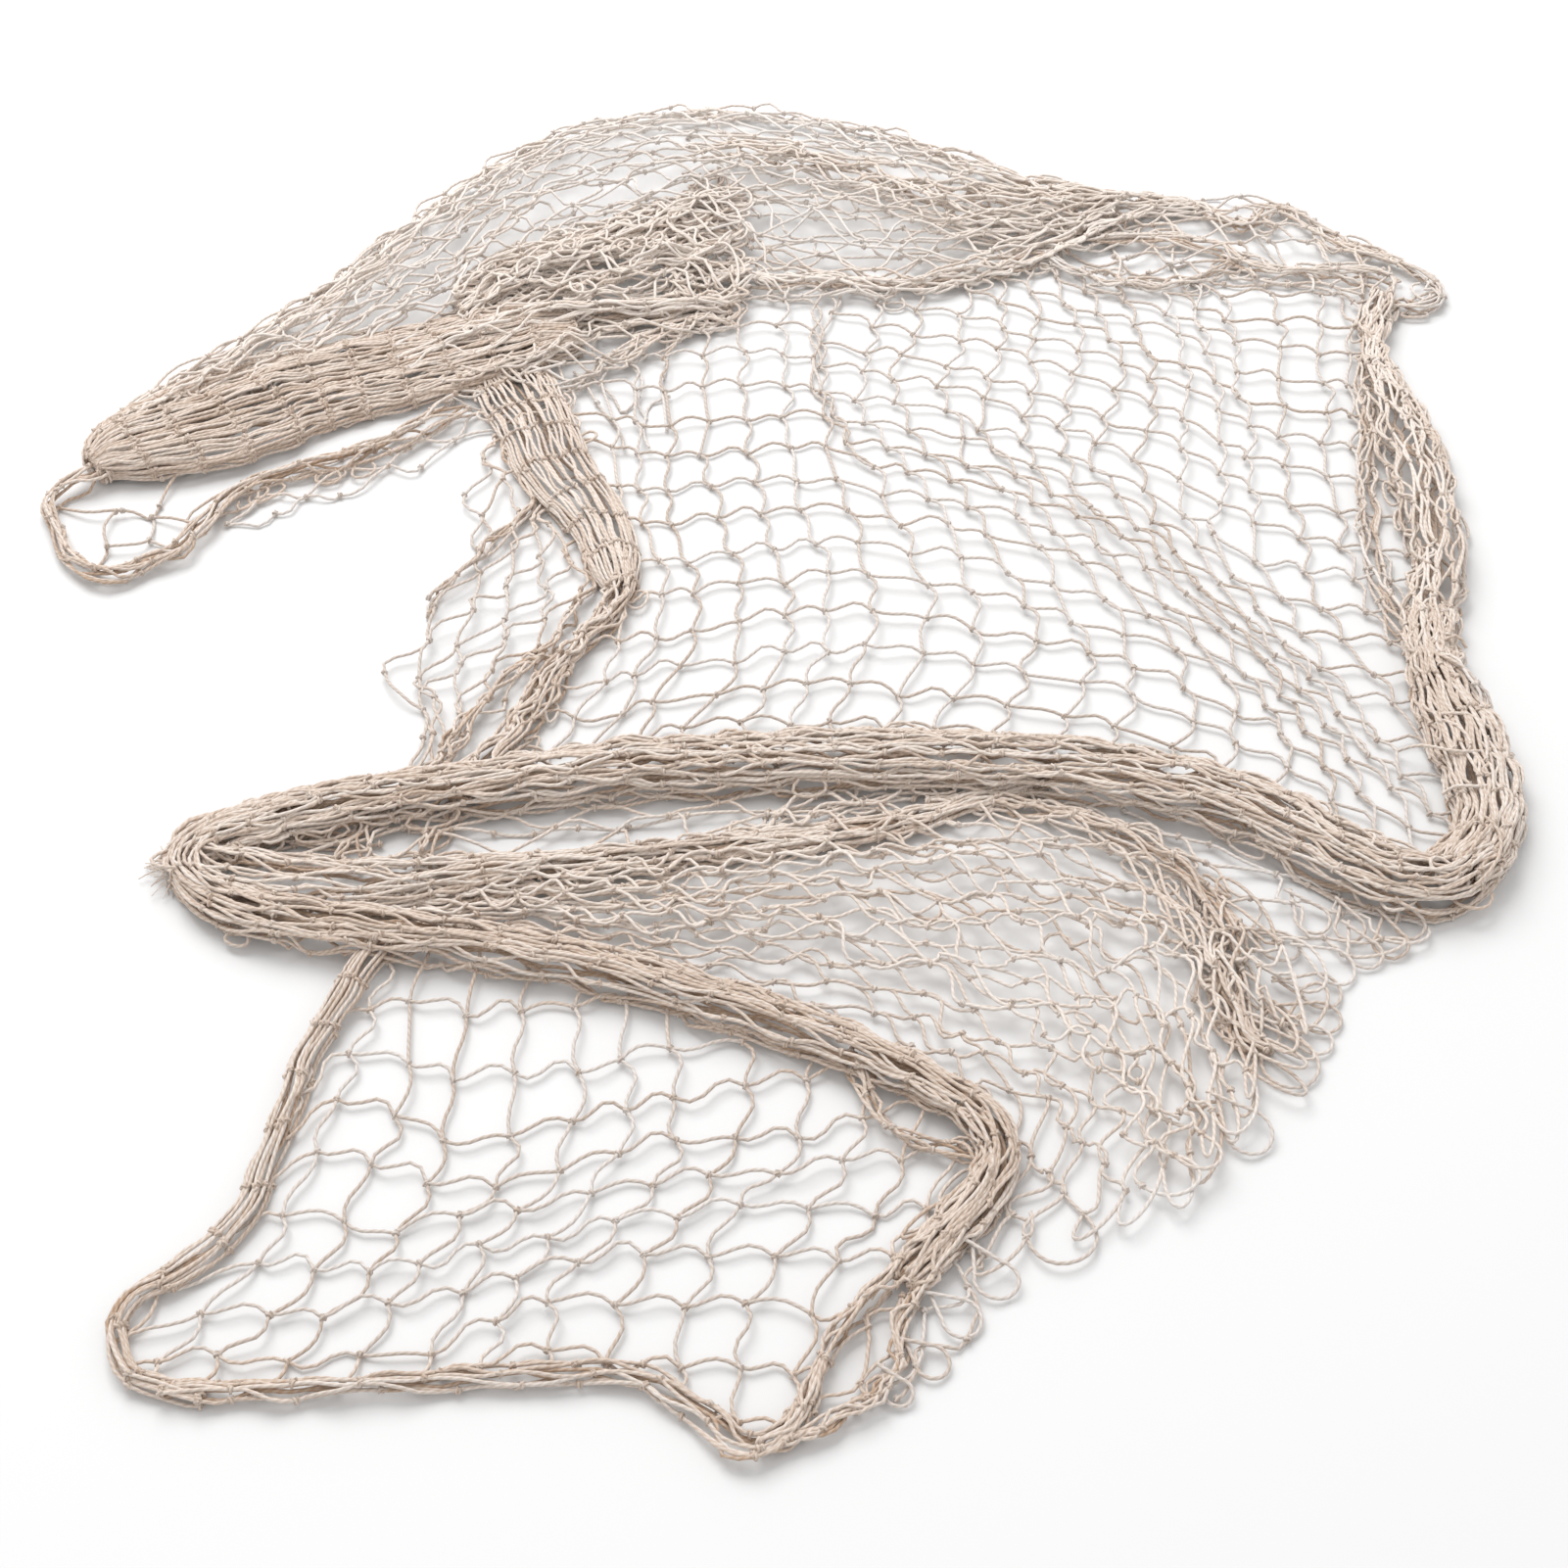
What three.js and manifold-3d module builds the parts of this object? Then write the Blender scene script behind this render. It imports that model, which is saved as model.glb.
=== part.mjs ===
// Decorative fishing net: one piece of knotted cotton netting lying loosely gathered on a floor.
// Millimetres, +Z up, +X and +Y across the floor; the net rests on z = 0 and is centred on the origin.
import * as THREE from "three";
import Module from "manifold-3d";

const wasm = await Module();
wasm.setup();

const meshBar = 25; // cord length from knot to knot in the netting
const cutPitch = 1.75 * meshBar; // spacing of the cells cut through the open sheets
const sheetThick = 2.4; // an open sheet is about one cord thick
const strandWide = 4.5; // width left between two cut cells
const smallestCell = 5; // narrowest cell worth cutting
const ringStep = 27; // spacing of the sections along a gathered bundle
const ridgeDepth = 0.16; // depth of the grooves between the cords of a bundle
const ridgePitch = 4.6; // width of one ridge
const unevenness = 0.09; // how far the back of a bundle rises and sinks along its length
const floorRound = 0.5; // exponent that squares the shoulders of a bundle
const netColour = 0xcbbba8;

// Turns rows of sizes into sections with named columns.
function table(columns, rows) {
  const names = columns.split(" ");
  return rows.map((row) => Object.fromEntries(names.map((name, k) => [name, row[k]])));
}

// Value of a smooth curve through a list of numbers, at t from 0 to 1.
function smooth(values, t) {
  const last = values.length - 1;
  const at = Math.min(Math.max(t, 0), 1) * last;
  const k = Math.min(Math.floor(at), last - 1);
  const f = at - k;
  const p1 = values[k];
  const p2 = values[k + 1];
  const p0 = k > 0 ? values[k - 1] : 2 * p1 - p2;
  const p3 = k + 2 <= last ? values[k + 2] : 2 * p2 - p1;
  const a = 2 * p1;
  const b = p2 - p0;
  const c = 2 * p0 - 5 * p1 + 4 * p2 - p3;
  const d = -p0 + 3 * p1 - 3 * p2 + p3;
  return 0.5 * (a + b * f + c * f * f + d * f * f * f);
}

// A closed mesh as a solid that can be joined.
function solidOf(points, faces) {
  const mesh = new wasm.Mesh({
    numProp: 3,
    vertProperties: new Float32Array(points.flat()),
    triVerts: new Uint32Array(faces.flat()),
  });
  mesh.merge();
  return new wasm.Manifold(mesh);
}

// Open netting: a thin sheet through the lines of a table, each line a run of named points.
function openSheet(lines, names) {
  const place = (u, v) => {
    const along = (suffix) => smooth(
      lines.map((line) => smooth(names.map((name) => line[name + suffix]), v)), u);
    return [along("X"), along("Y"), smooth(lines.map((line) => line.lift ?? 0), u) * Math.sin(Math.PI * v)];
  };
  const span = (from, to) => Math.hypot(to[0] - from[0], to[1] - from[1]);
  const runLength = (step) => {
    let total = 0;
    for (let k = 0; k < 20; k += 1) {
      total += span(step(k / 20), step((k + 1) / 20));
    }
    return total;
  };
  const across = Math.max(2, Math.round(runLength((t) => place(t, 0.5)) / cutPitch));
  const down = Math.max(1, Math.round(runLength((t) => place(0.5, t)) / cutPitch));
  const points = [];
  const faces = [];
  const node = [];
  const addPair = (x, y, z) => {
    points.push([x, y, Math.max(z, 0)], [x, y, Math.max(z, 0) + sheetThick]);
    return points.length - 2;
  };
  for (let i = 0; i <= across; i += 1) {
    node.push([]);
    for (let j = 0; j <= down; j += 1) {
      node[i].push(addPair(...place(i / across, j / down)));
    }
  }
  const [fromX, fromY] = place(0.5, 0.5);
  const [stepX, stepY] = place(0.55, 0.5);
  const [runX, runY] = place(0.5, 0.55);
  const turn = (stepX - fromX) * (runY - fromY) - (stepY - fromY) * (runX - fromX);
  const addFace = (a, b, c) => faces.push(turn > 0 ? [a, b, c] : [a, c, b]);
  // Both skins of a four-sided patch given by its lower corner points.
  const addSkins = (a, b, c, d) => {
    addFace(a + 1, b + 1, c + 1);
    addFace(a + 1, c + 1, d + 1);
    addFace(a, c, b);
    addFace(a, d, c);
  };
  // The upright wall along an edge that has the solid on its left.
  const addWall = (a, b) => {
    addFace(a, b, b + 1);
    addFace(a, b + 1, a + 1);
  };
  for (let i = 0; i < across; i += 1) {
    for (let j = 0; j < down; j += 1) {
      const corner = [node[i][j], node[i + 1][j], node[i + 1][j + 1], node[i][j + 1]];
      const at = corner.map((k) => points[k]);
      const wide = Math.min(span(at[0], at[1]), span(at[3], at[2]));
      const high = Math.min(span(at[0], at[3]), span(at[1], at[2]));
      if (wide < strandWide + smallestCell || high < strandWide + smallestCell) {
        addSkins(...corner);
        continue;
      }
      const insetU = strandWide / 2 / wide;
      const insetV = strandWide / 2 / high;
      const inner = [[insetU, insetV], [1 - insetU, insetV], [1 - insetU, 1 - insetV], [insetU, 1 - insetV]]
        .map(([s, t]) => addPair(...[0, 1, 2].map((k) => at[0][k] * (1 - s) * (1 - t) + at[1][k] * s * (1 - t)
          + at[2][k] * s * t + at[3][k] * (1 - s) * t)));
      for (let k = 0; k < 4; k += 1) {
        const next = (k + 1) % 4;
        addSkins(corner[k], corner[next], inner[next], inner[k]);
        addWall(inner[next], inner[k]);
      }
    }
  }
  for (let i = 0; i < across; i += 1) {
    addWall(node[i][0], node[i + 1][0]);
    addWall(node[i + 1][down], node[i][down]);
  }
  for (let j = 0; j < down; j += 1) {
    addWall(node[across][j], node[across][j + 1]);
    addWall(node[0][j + 1], node[0][j]);
  }
  return solidOf(points, faces);
}

// Gathered netting: a flat-bottomed bundle with a ridged back, through sections of a table.
function bundle(sections) {
  const column = (name) => sections.map((section) => section[name]);
  const place = (t) => [smooth(column("x"), t), smooth(column("y"), t)];
  let length = 0;
  for (let k = 1; k < sections.length; k += 1) {
    length += Math.hypot(sections[k].x - sections[k - 1].x, sections[k].y - sections[k - 1].y);
  }
  const rings = Math.max(sections.length - 1, Math.round(length / ringStep));
  const widest = Math.max(...column("wide"));
  const ridges = Math.max(3, Math.round(widest / ridgePitch / 2));
  const count = 2 * ridges + 1;
  const points = [];
  const faces = [];
  for (let r = 0; r <= rings; r += 1) {
    const t = r / rings;
    const [x, y] = place(t);
    const ahead = place(Math.min(t + 0.01, 1));
    const behind = place(Math.max(t - 0.01, 0));
    const long = Math.hypot(ahead[0] - behind[0], ahead[1] - behind[1]);
    const side = [-(ahead[1] - behind[1]) / long, (ahead[0] - behind[0]) / long];
    const half = smooth(column("wide"), t) / 2;
    const high = smooth(column("high"), t);
    for (let k = 0; k < count; k += 1) {
      const angle = Math.PI * k / (count - 1);
      const groove = (k % 2 === 1 ? 1 - ridgeDepth : 1) * (1 + unevenness * Math.sin(1.9 * r + 2.3 * k));
      const off = half * Math.cos(angle);
      const up = k === 0 || k === count - 1 ? 0 : high * groove * Math.sin(angle) ** floorRound;
      points.push([x + side[0] * off, y + side[1] * off, up]);
    }
  }
  for (let r = 0; r < rings; r += 1) {
    for (let k = 0; k < count; k += 1) {
      const a = r * count + k;
      const b = r * count + (k + 1) % count;
      faces.push([a, b + count, a + count], [a, b, b + count]);
    }
  }
  for (const r of [0, rings]) {
    const ring = points.slice(r * count, (r + 1) * count);
    const centre = points.length;
    points.push([0, 1, 2].map((axis) => (ring[0][axis] + ring[count - 1][axis]) / 2));
    points[centre][2] = Math.max(...ring.map((point) => point[2])) * 0.4;
    for (let k = 0; k < count; k += 1) {
      const a = r * count + k;
      const b = r * count + (k + 1) % count;
      faces.push(r === 0 ? [centre, b, a] : [centre, a, b]);
    }
  }
  return solidOf(points, faces);
}

// Open parts, as lines of the netting from one side to the other.
const fourPoints = ["top", "high", "low", "end"];
const fourColumns = "topX topY highX highY lowX lowY endX endY lift";
const centrePanel = table(fourColumns, [
  [-75, 318, -98, 235, -76, 140, -112, 6, 0],
  [20, 352, 16, 248, 38, 146, 8, 12, 3],
  [68, 352, 56, 244, 84, 135, 66, 14, 4],
  [110, 364, 93, 250, 128, 122, 118, 10, 4],
  [146, 362, 128, 240, 170, 128, 172, -2, 3],
  [186, 348, 162, 224, 186, 125, 236, -46, 3],
  [224, 348, 206, 225, 208, 125, 256, -52, 2],
  [292, 312, 288, 228, 274, 125, 282, -44, 0],
]);
const upperFan = table(fourColumns, [
  [-334, 213, -330, 208, -326, 204, -320, 198, 6],
  [-304, 262, -298, 252, -290, 242, -280, 228, 8],
  [-242, 340, -238, 318, -230, 295, -220, 272, 8],
  [-196, 410, -190, 378, -178, 345, -160, 312, 10],
  [-128, 492, -126, 448, -122, 404, -118, 356, 12],
  [-50, 516, -50, 468, -52, 420, -56, 366, 12],
  [20, 504, 16, 456, 10, 408, 2, 352, 10],
  [70, 484, 68, 440, 66, 396, 64, 346, 8],
  [130, 450, 128, 424, 126, 398, 124, 364, 6],
  [178, 434, 178, 422, 176, 410, 174, 398, 4],
]);
const sideFlap = table("topX topY highX highY midX midY lowX lowY endX endY lift", [
  [-146, 240, -155, 190, -141, 150, -173, 72, -156, 4, 0],
  [-126, 236, -134, 188, -122, 150, -146, 72, -140, 2, 3],
  [-108, 228, -110, 186, -94, 148, -118, 70, -122, 0, 0],
]);
const lowerFan = table(fourColumns, [
  [-110, -46, -110, -60, -110, -74, -110, -88, 4],
  [-40, -34, -40, -56, -42, -82, -46, -106, 6],
  [20, -10, 20, -46, 18, -84, 14, -128, 8],
  [75, -4, 82, -56, 78, -110, 62, -160, 8],
  [128, -6, 134, -76, 120, -146, 76, -206, 7],
  [175, -24, 172, -104, 136, -180, 48, -242, 6],
  [212, -58, 196, -138, 126, -216, 24, -286, 4],
]);
const lowerPanel = table("leftX leftY innerX innerY outerX outerY rightX rightY lift", [
  [-160, -94, -100, -102, -40, -118, 35, -152, 0],
  [-172, -135, -105, -140, -40, -150, 62, -178, 3],
  [-180, -175, -105, -180, -35, -182, 68, -206, 3],
  [-187, -212, -108, -215, -40, -215, 50, -234, 2],
  [-200, -248, -112, -248, -48, -245, 34, -262, 2],
  [-212, -286, -118, -283, -55, -278, 10, -292, 0],
]);
const foldSheet = table("topX topY endX endY lift", [
  [-232, -32, -228, -48, 2],
  [-180, -20, -180, -54, 2],
  [-130, -14, -130, -54, 3],
  [-80, -8, -80, -48, 3],
  [-30, -4, -30, -42, 3],
  [20, -2, 20, -34, 3],
  [60, 0, 60, -26, 2],
]);
const tailFringe = table("topX topY endX endY lift", [
  [-270, 168, -258, 162, 0],
  [-250, 190, -238, 172, 1],
  [-225, 204, -212, 184, 1],
  [-200, 215, -188, 194, 1],
  [-178, 233, -165, 212, 1],
  [-150, 252, -138, 232, 0],
]);

// Gathered parts, as sections along each bundle.
const bundleColumns = "x y wide high";
const pleatBand = table(bundleColumns, [
  [-328, 199, 16, 12],
  [-318, 208, 38, 20],
  [-300, 220, 58, 22],
  [-267, 238, 68, 19],
  [-230, 262, 62, 15],
  [-185, 281, 60, 14],
  [-140, 300, 58, 18],
  [-95, 316, 48, 21],
  [-58, 326, 36, 16],
  [-38, 331, 27, 12],
  [-26, 334, 16, 7],
]);
const crumpledHeap = table(bundleColumns, [
  [-98, 288, 96, 15],
  [-90, 328, 118, 27],
  [-84, 366, 108, 24],
  [-62, 398, 66, 18],
  [-46, 428, 36, 11],
  [-44, 446, 26, 7],
]);
const pleatFall = table(bundleColumns, [
  [-130, 268, 46, 20],
  [-116, 235, 42, 14],
  [-103, 205, 42, 12],
  [-88, 175, 40, 11],
  [-78, 148, 34, 11],
  [-80, 122, 26, 10],
  [-92, 96, 26, 9],
  [-106, 70, 36, 8],
  [-120, 42, 42, 8],
  [-130, 8, 46, 8],
]);
const rightBundle = table(bundleColumns, [
  [308, 334, 18, 10],
  [298, 305, 22, 12],
  [294, 270, 24, 14],
  [297, 235, 34, 15],
  [300, 205, 34, 16],
  [300, 165, 29, 15],
  [299, 130, 24, 14],
  [289, 98, 23, 13],
  [284, 65, 23, 14],
  [288, 30, 32, 16],
  [291, -5, 32, 17],
  [288, -34, 28, 17],
  [270, -58, 27, 16],
]);
const sideStrand = table(bundleColumns, [
  [287, 248, 9, 7],
  [275, 190, 9, 6],
  [270, 132, 10, 6],
  [281, 72, 11, 7],
]);
const crossBundle = table(bundleColumns, [
  [284, -48, 26, 16],
  [258, -63, 29, 17],
  [228, -50, 32, 18],
  [192, -22, 32, 18],
  [150, -6, 32, 18],
  [105, 3, 30, 18],
  [50, 6, 29, 18],
  [0, 5, 29, 18],
  [-60, 1, 28, 18],
  [-115, -8, 26, 17],
  [-165, -16, 24, 16],
  [-205, -26, 23, 15],
  [-236, -39, 22, 13],
  [-252, -50, 12, 8],
]);
const lowerBundle = table(bundleColumns, [
  [-244, -52, 16, 10],
  [-222, -72, 24, 14],
  [-185, -84, 26, 15],
  [-130, -92, 24, 15],
  [-70, -106, 24, 15],
  [-10, -128, 24, 15],
  [36, -150, 22, 14],
  [68, -167, 20, 13],
  [80, -184, 19, 12],
  [74, -203, 19, 11],
  [58, -222, 20, 10],
  [42, -246, 18, 9],
  [28, -267, 17, 8],
  [14, -287, 14, 6],
  [2, -301, 8, 4],
]);
const hookStrand = table(bundleColumns, [
  [24, -144, 9, 7],
  [33, -165, 8, 6],
  [50, -177, 8, 6],
  [74, -190, 10, 7],
]);
const middleBand = table(bundleColumns, [
  [-242, -50, 20, 12],
  [-200, -59, 22, 12],
  [-150, -60, 22, 11],
  [-100, -51, 18, 9],
  [-40, -42, 14, 7],
  [20, -32, 12, 6],
  [80, -20, 11, 6],
]);
const curlFall = table(bundleColumns, [
  [110, -8, 16, 9],
  [138, -42, 19, 9],
  [160, -78, 24, 10],
  [174, -110, 30, 10],
  [184, -136, 26, 8],
  [190, -154, 9, 4],
]);
const cornerCurls = table(bundleColumns, [
  [196, -42, 22, 10],
  [212, -68, 26, 9],
  [232, -88, 24, 7],
  [246, -102, 8, 4],
]);
const leftEdge = table(bundleColumns, [
  [-158, -88, 13, 9],
  [-172, -120, 12, 8],
  [-183, -155, 11, 8],
  [-189, -190, 10, 7],
  [-196, -218, 11, 7],
  [-212, -238, 12, 6],
  [-228, -250, 8, 5],
  [-232, -266, 8, 5],
  [-222, -282, 8, 5],
  [-198, -288, 9, 5],
]);
const bottomEdge = table(bundleColumns, [
  [-212, -287, 8, 5],
  [-165, -286, 9, 6],
  [-120, -283, 10, 6],
  [-80, -279, 11, 7],
  [-45, -281, 10, 6],
  [-18, -290, 9, 6],
  [6, -299, 8, 5],
]);
const tailLoop = table(bundleColumns, [
  [-324, 200, 26, 18],
  [-344, 184, 14, 11],
  [-338, 163, 10, 8],
  [-322, 142, 11, 7],
  [-305, 130, 12, 7],
  [-286, 141, 12, 7],
  [-272, 163, 13, 7],
  [-255, 187, 12, 7],
  [-230, 202, 14, 8],
  [-204, 214, 16, 8],
  [-180, 234, 17, 9],
  [-152, 254, 20, 12],
]);
const bandEdge = table(bundleColumns, [
  [-34, 358, 18, 8],
  [0, 349, 16, 8],
  [35, 345, 16, 8],
  [65, 346, 14, 7],
  [95, 356, 13, 7],
  [125, 370, 13, 7],
  [152, 384, 15, 8],
  [180, 402, 18, 9],
]);
const bandStrip = table(bundleColumns, [
  [-30, 470, 10, 14],
  [0, 456, 12, 15],
  [30, 446, 14, 15],
  [55, 433, 16, 14],
  [80, 415, 16, 13],
  [105, 400, 18, 12],
  [135, 393, 18, 10],
]);
const topStrand = table(bundleColumns, [
  [168, 404, 22, 8],
  [200, 418, 20, 9],
  [222, 428, 20, 9],
  [242, 410, 14, 7],
  [264, 428, 14, 8],
  [284, 412, 12, 7],
  [302, 386, 11, 6],
  [326, 374, 10, 6],
  [337, 352, 10, 6],
  [312, 334, 13, 8],
]);
const cornerStrand = table(bundleColumns, [
  [160, 392, 18, 8],
  [206, 392, 13, 7],
  [238, 374, 13, 7],
  [272, 366, 14, 8],
  [304, 360, 14, 8],
  [308, 330, 16, 9],
]);
const topEdgeStrand = table(bundleColumns, [
  [138, 374, 12, 6],
  [172, 350, 16, 7],
  [206, 346, 14, 6],
  [244, 352, 13, 6],
  [272, 340, 12, 6],
  [290, 308, 14, 8],
]);

const pieces = [
  openSheet(centrePanel, fourPoints),
  openSheet(upperFan, fourPoints),
  openSheet(sideFlap, ["top", "high", "mid", "low", "end"]),
  openSheet(lowerFan, fourPoints),
  openSheet(lowerPanel, ["left", "inner", "outer", "right"]),
  openSheet(foldSheet, ["top", "end"]),
  openSheet(tailFringe, ["top", "end"]),
  ...[
    pleatBand, crumpledHeap, pleatFall, rightBundle, sideStrand, crossBundle, lowerBundle, hookStrand,
    middleBand, curlFall, cornerCurls, leftEdge, bottomEdge, tailLoop, bandEdge, bandStrip, topStrand,
    cornerStrand, topEdgeStrand,
  ].map(bundle),
];
const joined = pieces.reduce((whole, piece) => whole.add(piece));
const joinedMesh = joined.getMesh();

const geometry = new THREE.BufferGeometry();
geometry.setAttribute("position", new THREE.Float32BufferAttribute(joinedMesh.vertProperties, 3));
geometry.setIndex(new THREE.Uint32BufferAttribute(joinedMesh.triVerts, 1));
geometry.computeBoundingBox();
const middle = geometry.boundingBox.getCenter(new THREE.Vector3());
geometry.translate(-middle.x, -middle.y, -geometry.boundingBox.min.z);
geometry.computeVertexNormals();

const material = new THREE.MeshStandardMaterial({ color: netColour, roughness: 0.95, metalness: 0 });
const net = new THREE.Mesh(geometry, material);
net.name = "net";
const group = new THREE.Group();
group.name = "decorative_fishing_net";
group.add(net);

export default group;
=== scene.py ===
import math

import bpy
import numpy as np
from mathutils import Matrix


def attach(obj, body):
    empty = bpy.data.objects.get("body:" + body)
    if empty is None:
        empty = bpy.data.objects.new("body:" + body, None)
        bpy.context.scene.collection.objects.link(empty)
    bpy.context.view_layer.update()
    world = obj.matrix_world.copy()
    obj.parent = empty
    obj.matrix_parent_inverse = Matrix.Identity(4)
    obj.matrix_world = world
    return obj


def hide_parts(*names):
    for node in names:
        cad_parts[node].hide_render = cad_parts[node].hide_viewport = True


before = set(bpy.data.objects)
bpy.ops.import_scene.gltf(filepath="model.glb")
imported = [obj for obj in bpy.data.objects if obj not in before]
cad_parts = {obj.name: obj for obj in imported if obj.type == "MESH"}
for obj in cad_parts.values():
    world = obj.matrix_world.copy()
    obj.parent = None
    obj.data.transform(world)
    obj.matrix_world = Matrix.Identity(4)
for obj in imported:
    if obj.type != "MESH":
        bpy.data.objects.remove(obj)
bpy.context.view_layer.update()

scene = bpy.context.scene

# Points are in millimetres on the floor, from the floor point at the middle of the picture.
mm = 0.001
planMiddle = np.array([-4.41, 106.31, 0.0])  # where the frame's origin lies in that plan

twine = dict(
    bar=25.0,  # cord from knot to knot
    radius=0.75,
    sides=6,
    parts=5,  # straight parts in one bar
    knotRadius=1.2,
    knotTurns=1.5,
    knotSides=4,
    knotParts=5,  # straight parts in one turn of a knot
    knotClimb=1.9,  # height of a knot's coil, in cord radii
    knotCord=0.9,  # radius of the cord in it, in cord radii
    innerShadeTone=-0.5,  # painted shade: darker tone of cords deep in a bundle; others lie between 0 and 1
)


# camera

cameraValues = dict(tilt=47.0, height=755.0, focal=2500.0, frame=1601.0)


def makeCamera(values):
    data = bpy.data.cameras.new("camera")
    data.sensor_width = 36.0
    data.lens = data.sensor_width * values["focal"] / values["frame"]
    data.clip_start = 0.01
    data.clip_end = 20.0
    cam = bpy.data.objects.new("camera", data)
    scene.collection.objects.link(cam)
    back = values["height"] / math.tan(math.radians(values["tilt"]))
    cam.location = tuple((np.array([0.0, -back, values["height"]]) - planMiddle) * mm)
    cam.rotation_euler = (math.radians(90.0 - values["tilt"]), 0.0, 0.0)
    scene.camera = cam


makeCamera(cameraValues)
print("camera set")


# forms of netting and the surfaces they lie on

def sections(columns, *lines):
    return dict(zip(columns.split(), np.array(lines, float).T))


def bundle(*lines, share=0.7, loops=(), **lie):  # rope of netting, with the share of its cords on its back
    return dict(table=sections("x y wide high", *lines), share=share, loops=loops, net=lie)


def sheet(*lines, layers, alongLines=False):  # open netting through lines of points, each with its lift last
    lines = np.array(lines, float)
    grid = lines[:, :-1].reshape(len(lines), -1, 2)
    return dict(grid=grid, lift=lines[:, -1], layers=layers, alongLines=alongLines)


def panel(*lines, **lie):  # square meshes through lines of points, each with the number of its mesh first
    lines = np.array(lines, float)
    return dict(mesh=lines[:, 0], grid=lines[:, 1:].reshape(len(lines), -1, 2), **lie)


def flatPath(table):
    return np.column_stack([table["x"], table["y"]])


def weights(count, t):  # share of each of the points in a smooth curve at t
    t = np.clip(np.asarray(t, float).ravel(), 0.0, 1.0) * (count - 1)
    k = np.minimum(t.astype(int), count - 2)
    f = t - k
    shares = (
        -0.5 * f + f ** 2 - 0.5 * f ** 3,
        1.0 - 2.5 * f ** 2 + 1.5 * f ** 3,
        0.5 * f + 2.0 * f ** 2 - 1.5 * f ** 3,
        -0.5 * f ** 2 + 0.5 * f ** 3,
    )
    w = np.zeros((len(t), count + 2))
    for step, share in enumerate(shares):
        w[np.arange(len(t)), k + step] += share
    w[:, 1] += 2.0 * w[:, 0]
    w[:, 2] -= w[:, 0]
    w[:, count] += 2.0 * w[:, count + 1]
    w[:, count - 1] -= w[:, count + 1]
    return w[:, 1:count + 1]


def stepLengths(points):
    return np.linalg.norm(np.diff(points, axis=0), axis=1)


def unit(ways):
    return ways / np.maximum(np.linalg.norm(ways, axis=1), 1e-9)[:, None]


def leftOf(ways):
    return np.stack([-ways[..., 1], ways[..., 0]], -1)


def heading(path, t, step=0.003):  # unit directions along a path and to its left
    t = np.asarray(t)
    ahead = unit(weights(len(path), t + step) @ path - weights(len(path), t - step) @ path)
    return ahead, leftOf(ahead)


def openSurface(grid, lift, level=0.0, alongLines=False):
    # u runs from line to line and v along each line's points, or the other way round
    def surface(u, v):
        if alongLines:
            u, v = v, u
        wu, wv = weights(grid.shape[0], u), weights(grid.shape[1], v)
        flat = np.einsum("al,lpc,ap->ac", wu, grid, wv)
        up = (wu @ lift) * np.sin(np.pi * np.clip(np.asarray(v, float).ravel(), 0.0, 1.0))
        return np.column_stack([flat, twine["radius"] + level + up])

    return surface


core = dict(wide=0.86, low=0.1, high=0.42)  # cords inside a bundle, as shares of its half width and height


def bundleSurface(table, share, dome=0.6):
    # v runs over the bundle's back up to the share and then home inside it
    path = flatPath(table)

    def surface(u, v):
        u = np.asarray(u, float).ravel()
        v = np.clip(np.asarray(v, float).ravel(), 0.0, 1.0)
        w = weights(len(path), u)
        over = np.minimum(v / share, 1.0) * np.pi
        inside = np.clip((v - share) / (1.0 - share), 0.0, 1.0)
        off = np.where(v < share, np.cos(over), (2.0 * inside - 1.0) * core["wide"])
        up = np.where(v < share, np.sin(over) ** dome, core["low"] + core["high"] * np.sin(np.pi * inside))
        wide = np.maximum(w @ table["wide"] / 2.0 - twine["radius"], 1.0)
        high = np.maximum(w @ table["high"] - 2.0 * twine["radius"], 1.0)
        flat = w @ path + heading(path, u)[1] * (off * wide)[:, None]
        return np.column_stack([flat, twine["radius"] + up * high])

    return surface


def sway(rng, size):  # smooth unevenness over a surface, about -1 to 1
    turns = rng.uniform(0.6, 2.6, (4, 2)) * size
    phase = rng.uniform(0.0, math.tau, 4)

    def at(u, v):
        u, v = np.asarray(u, float).ravel(), np.asarray(v, float).ravel()
        return sum(np.sin(math.tau * (a * u + b * v) + p) for (a, b), p in zip(turns, phase)) / 2.2

    return at


# laying of cords and knots

class Netting:  # cords and knots gathered for one piece
    def __init__(self):
        self.cords = []
        self.thick = []
        self.tones = []
        self.knots = []
        self.yaws = []
        self.bars = 0

    def addCord(self, points, bars, thick=1.0, tone=np.nan):
        points = np.array(points, float)
        points[:, 2] = np.maximum(points[:, 2], twine["radius"] * thick)
        self.cords.append(points)
        self.thick.append(thick)
        self.tones.append(tone)
        self.bars += bars

    def addRaised(self, flat, up, bars):
        self.addCord(np.column_stack([flat, twine["radius"] + up]), bars)

    def addKnots(self, points, yaws):
        points = np.array(points, float)
        points[:, 2] = np.maximum(points[:, 2], twine["knotRadius"] + twine["knotCord"] * twine["radius"])
        self.knots.extend(points)
        self.yaws.extend(yaws)


barChance = dict(  # how the bars of square meshes differ
    length=(0.985, 1.05),
    deepest=0.17,  # bow, as a share of the gap between the knots
    turned=0.14,  # share of bars bowed the other way, and how far
    turnedBow=-0.6,
    skew=0.7,
    lift=(-0.3, 1.6),
)


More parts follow.
